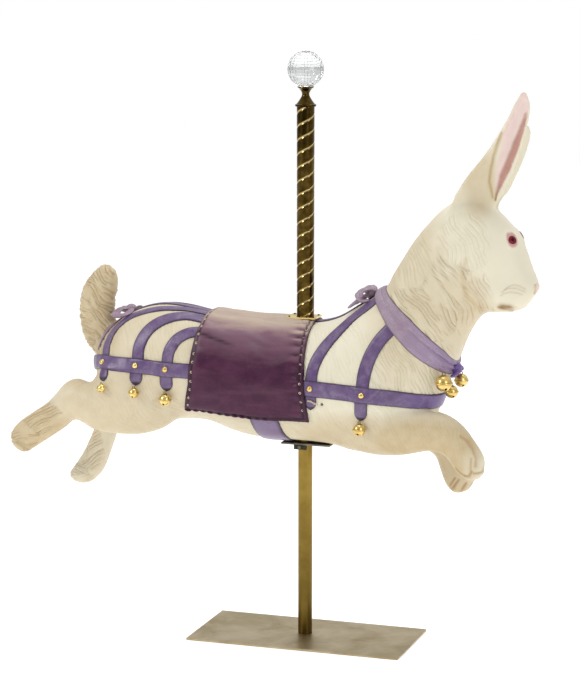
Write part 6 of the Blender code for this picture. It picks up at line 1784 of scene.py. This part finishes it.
def eyes(finish, smooth_tree):
    """Glass eyes let into the head, each with a low polished face and a dark pupil."""
    radius = EYE_DIAMETER / 2
    for side_name in ("near", "far"):
        low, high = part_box("eye_" + side_name)
        centre = (low + high) / 2
        face = smooth_tree.find_nearest(centre)[0] - centre
        look = np.array(face.normalized())
        bm = bmesh.new()
        bmesh.ops.create_uvsphere(bm, u_segments=48, v_segments=32, radius=radius)
        mesh = as_mesh("glass_eye_" + side_name, bm)
        places = read_points(mesh)
        ahead = places @ look
        proud = np.clip(ahead - face.length, 0, None)
        move_points(mesh, places - EYE_FLATTENING * proud[:, None] * look)
        pupil_way = look + np.array((-0.10, 0.0, 0.0))
        towards = places @ (pupil_way / np.linalg.norm(pupil_way)) / radius
        paint_values(mesh, pupil=np.clip((towards - PUPIL_EDGE) / 0.02, 0, 1))
        mesh.transform(Matrix.Translation(centre))
        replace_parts(placed("glass_eye_" + side_name, mesh, finish, "eye_glass"), "eye_" + side_name)


TACK_RADIUS = 0.0035
TACK_HEIGHT = 0.0024


def front_tie(finish):
    """The lace that ties down the pad's front corner, and the tack it ends under."""
    low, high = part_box("pad_tie")
    radius = TIE_DIAMETER / 2
    start = Vector((low.x + radius * 0.5, (low.y + high.y) / 2, high.z - radius))
    end = Vector((high.x - radius * 0.5, (low.y + high.y) / 2, low.z + radius))
    sideways = Vector((0, 1, 0))
    upwards = (end - start).normalized().cross(sideways).normalized()
    bm = bmesh.new()
    rings = 40
    sides = 16
    loops = []
    for i in range(rings + 1):
        share = i / rings
        centre = start.lerp(end, share) + Vector((0, 0, 0.0015 * math.sin(share * math.pi * 2)))
        close = min(1.0, 0.4 + 3 * min(share, 1 - share) * 4)
        ring = []
        for j in range(sides):
            angle = 2 * math.pi * j / sides
            swell = 1 + 0.16 * math.cos(2 * (angle + share * 9))
            out = upwards * math.cos(angle) + sideways * math.sin(angle)
            ring.append(bm.verts.new(centre + radius * close * swell * 0.9 * out))
        loops.append(ring)
    add_skin(bm, loops)
    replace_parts(placed("front_tie_lace", as_mesh("front_tie_lace", bm), finish, "lace"), "pad_tie")
    low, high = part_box("pad_tack")
    mesh = domed("tack_head", TACK_RADIUS, TACK_HEIGHT, (70, 45, 20, 4), [(1.0, -0.2), (0.0, -0.2)], 20,
                 peak=0.9)
    mesh.transform(Matrix.Translation((low + high) / 2) @ aimed(Vector((0.1, -1, 0.1))))
    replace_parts(placed("tack_head", uncut(mesh), finish, "dark_steel"), "pad_tack")


def dress_plain_nodes(finish):
    """Solids whose shape is right as they are: plates, packing, clamp and bolt."""
    for node_name, slot in (("base_plate", "dull_bronze"), ("pole_plate", "bright_brass"),
                            ("belly_plate", "dark_steel"), ("belly_packing", "black_rubber"),
                            ("belly_clamp", "black_rubber"), ("clamp_bolt", "dark_steel")):
        mesh = CAD[node_name].data
        mesh.materials.clear()
        mesh.materials.append(finish[slot])


# The camera where the photograph was taken from, and the soft lights: place, size and watts
CAMERA_PLACE = (2.081, -6.385, 1.98)
CAMERA_TILT = math.radians(79.93)
CAMERA_TURN = math.radians(18.4)
CAMERA_LENS = 133.4
LIT_POINT = Vector((0, 0, 0.8))
SOFTBOXES = {
    "Left softbox": ((-3.2, -3.4, 3.2), 1.6, 80.0),
    "Right softbox": ((3.6, -2.6, 2.4), 1.8, 34.0),
    "Top softbox": ((0.2, 0.6, 4.0), 2.4, 45.0),
}
WHITE = (1.0, 1.0, 1.0, 1.0)


def studio():
    """A pale floor, a white room that is darker behind the camera, soft lights and the camera."""
    world = bpy.data.worlds.new("White room")
    world.use_nodes = True
    tree = world.node_tree
    node = partial(add, tree)
    direction = node("ShaderNodeSeparateXYZ", node("ShaderNodeTexCoord"))
    parts = direction.node.outputs
    up = node("math", parts["Z"], 0.75, 0.15, operation="MULTIPLY_ADD", use_clamp=True)
    behind = node("math", parts["Y"], 0.45, 0.5, operation="MULTIPLY_ADD", use_clamp=True)
    room = node("math", node("math", up, behind, operation="ADD"), 0.56, 0.06, operation="MULTIPLY_ADD")
    seen = tree.nodes.new("ShaderNodeLightPath").outputs["Is Camera Ray"]
    strength = node("math", room, seen, operation="MAXIMUM")
    tree.links.new(strength, tree.nodes["Background"].inputs["Strength"])
    tree.nodes["Background"].inputs["Color"].default_value = WHITE
    bpy.context.scene.world = world
    bpy.context.scene.view_settings.view_transform = "Standard"
    bm = bmesh.new()
    bmesh.ops.create_grid(bm, x_segments=1, y_segments=1, size=12.0)
    floor = linked("studio_floor", as_mesh("studio_floor", bm))
    floor.data.materials.append(finish_named("Matt white floor", {
        "Base Color": linear("#FBFBFA"), "Roughness": 0.9, "Emission Color": WHITE,
        "Emission Strength": 0.36}))
    for name, (place, size, watts) in SOFTBOXES.items():
        light = bpy.data.lights.new(name, "AREA")
        light.size = size
        light.energy = watts
        obj = bpy.data.objects.new(name, light)
        obj.location = place
        obj.rotation_euler = (LIT_POINT - Vector(place)).to_track_quat("-Z", "Y").to_euler()
        bpy.context.scene.collection.objects.link(obj)
    camera = bpy.data.cameras.new("Photograph view")
    camera.lens = CAMERA_LENS
    camera.sensor_width = 36.0
    camera.clip_end = 100.0
    view = bpy.data.objects.new("Photograph view", camera)
    view.location = CAMERA_PLACE
    view.rotation_euler = (CAMERA_TILT, 0.0, CAMERA_TURN)
    bpy.context.scene.collection.objects.link(view)
    bpy.context.scene.camera = view


def join_meshes(meshes):
    """One mesh of several."""
    bm = bmesh.new()
    for mesh in meshes:
        bm.from_mesh(mesh)
    return as_mesh("joined", bm)


def main():
    """Make every piece in the order in which they lie on each other, then the studio."""
    finish = finishes()
    rabbit, smooth_tree, figure_tree = carved_figure(finish)
    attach(rabbit, "root")
    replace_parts(rabbit, "rabbit")
    eyes(finish, smooth_tree)
    straps = harness(finish, smooth_tree, figure_tree)
    strap_trees = [tree_of(piece.data) for piece in straps]
    neck_ribbon(finish, smooth_tree, [figure_tree] + strap_trees)
    saddle_pad(finish, smooth_tree, figure_tree, strap_trees)
    bows(finish)
    bells(finish)
    studs(finish, tree_of(join_meshes([piece.data for piece in straps[:2]])))
    pole(finish)
    plate_screws(finish)
    front_tie(finish)
    dress_plain_nodes(finish)
    studio()


main()
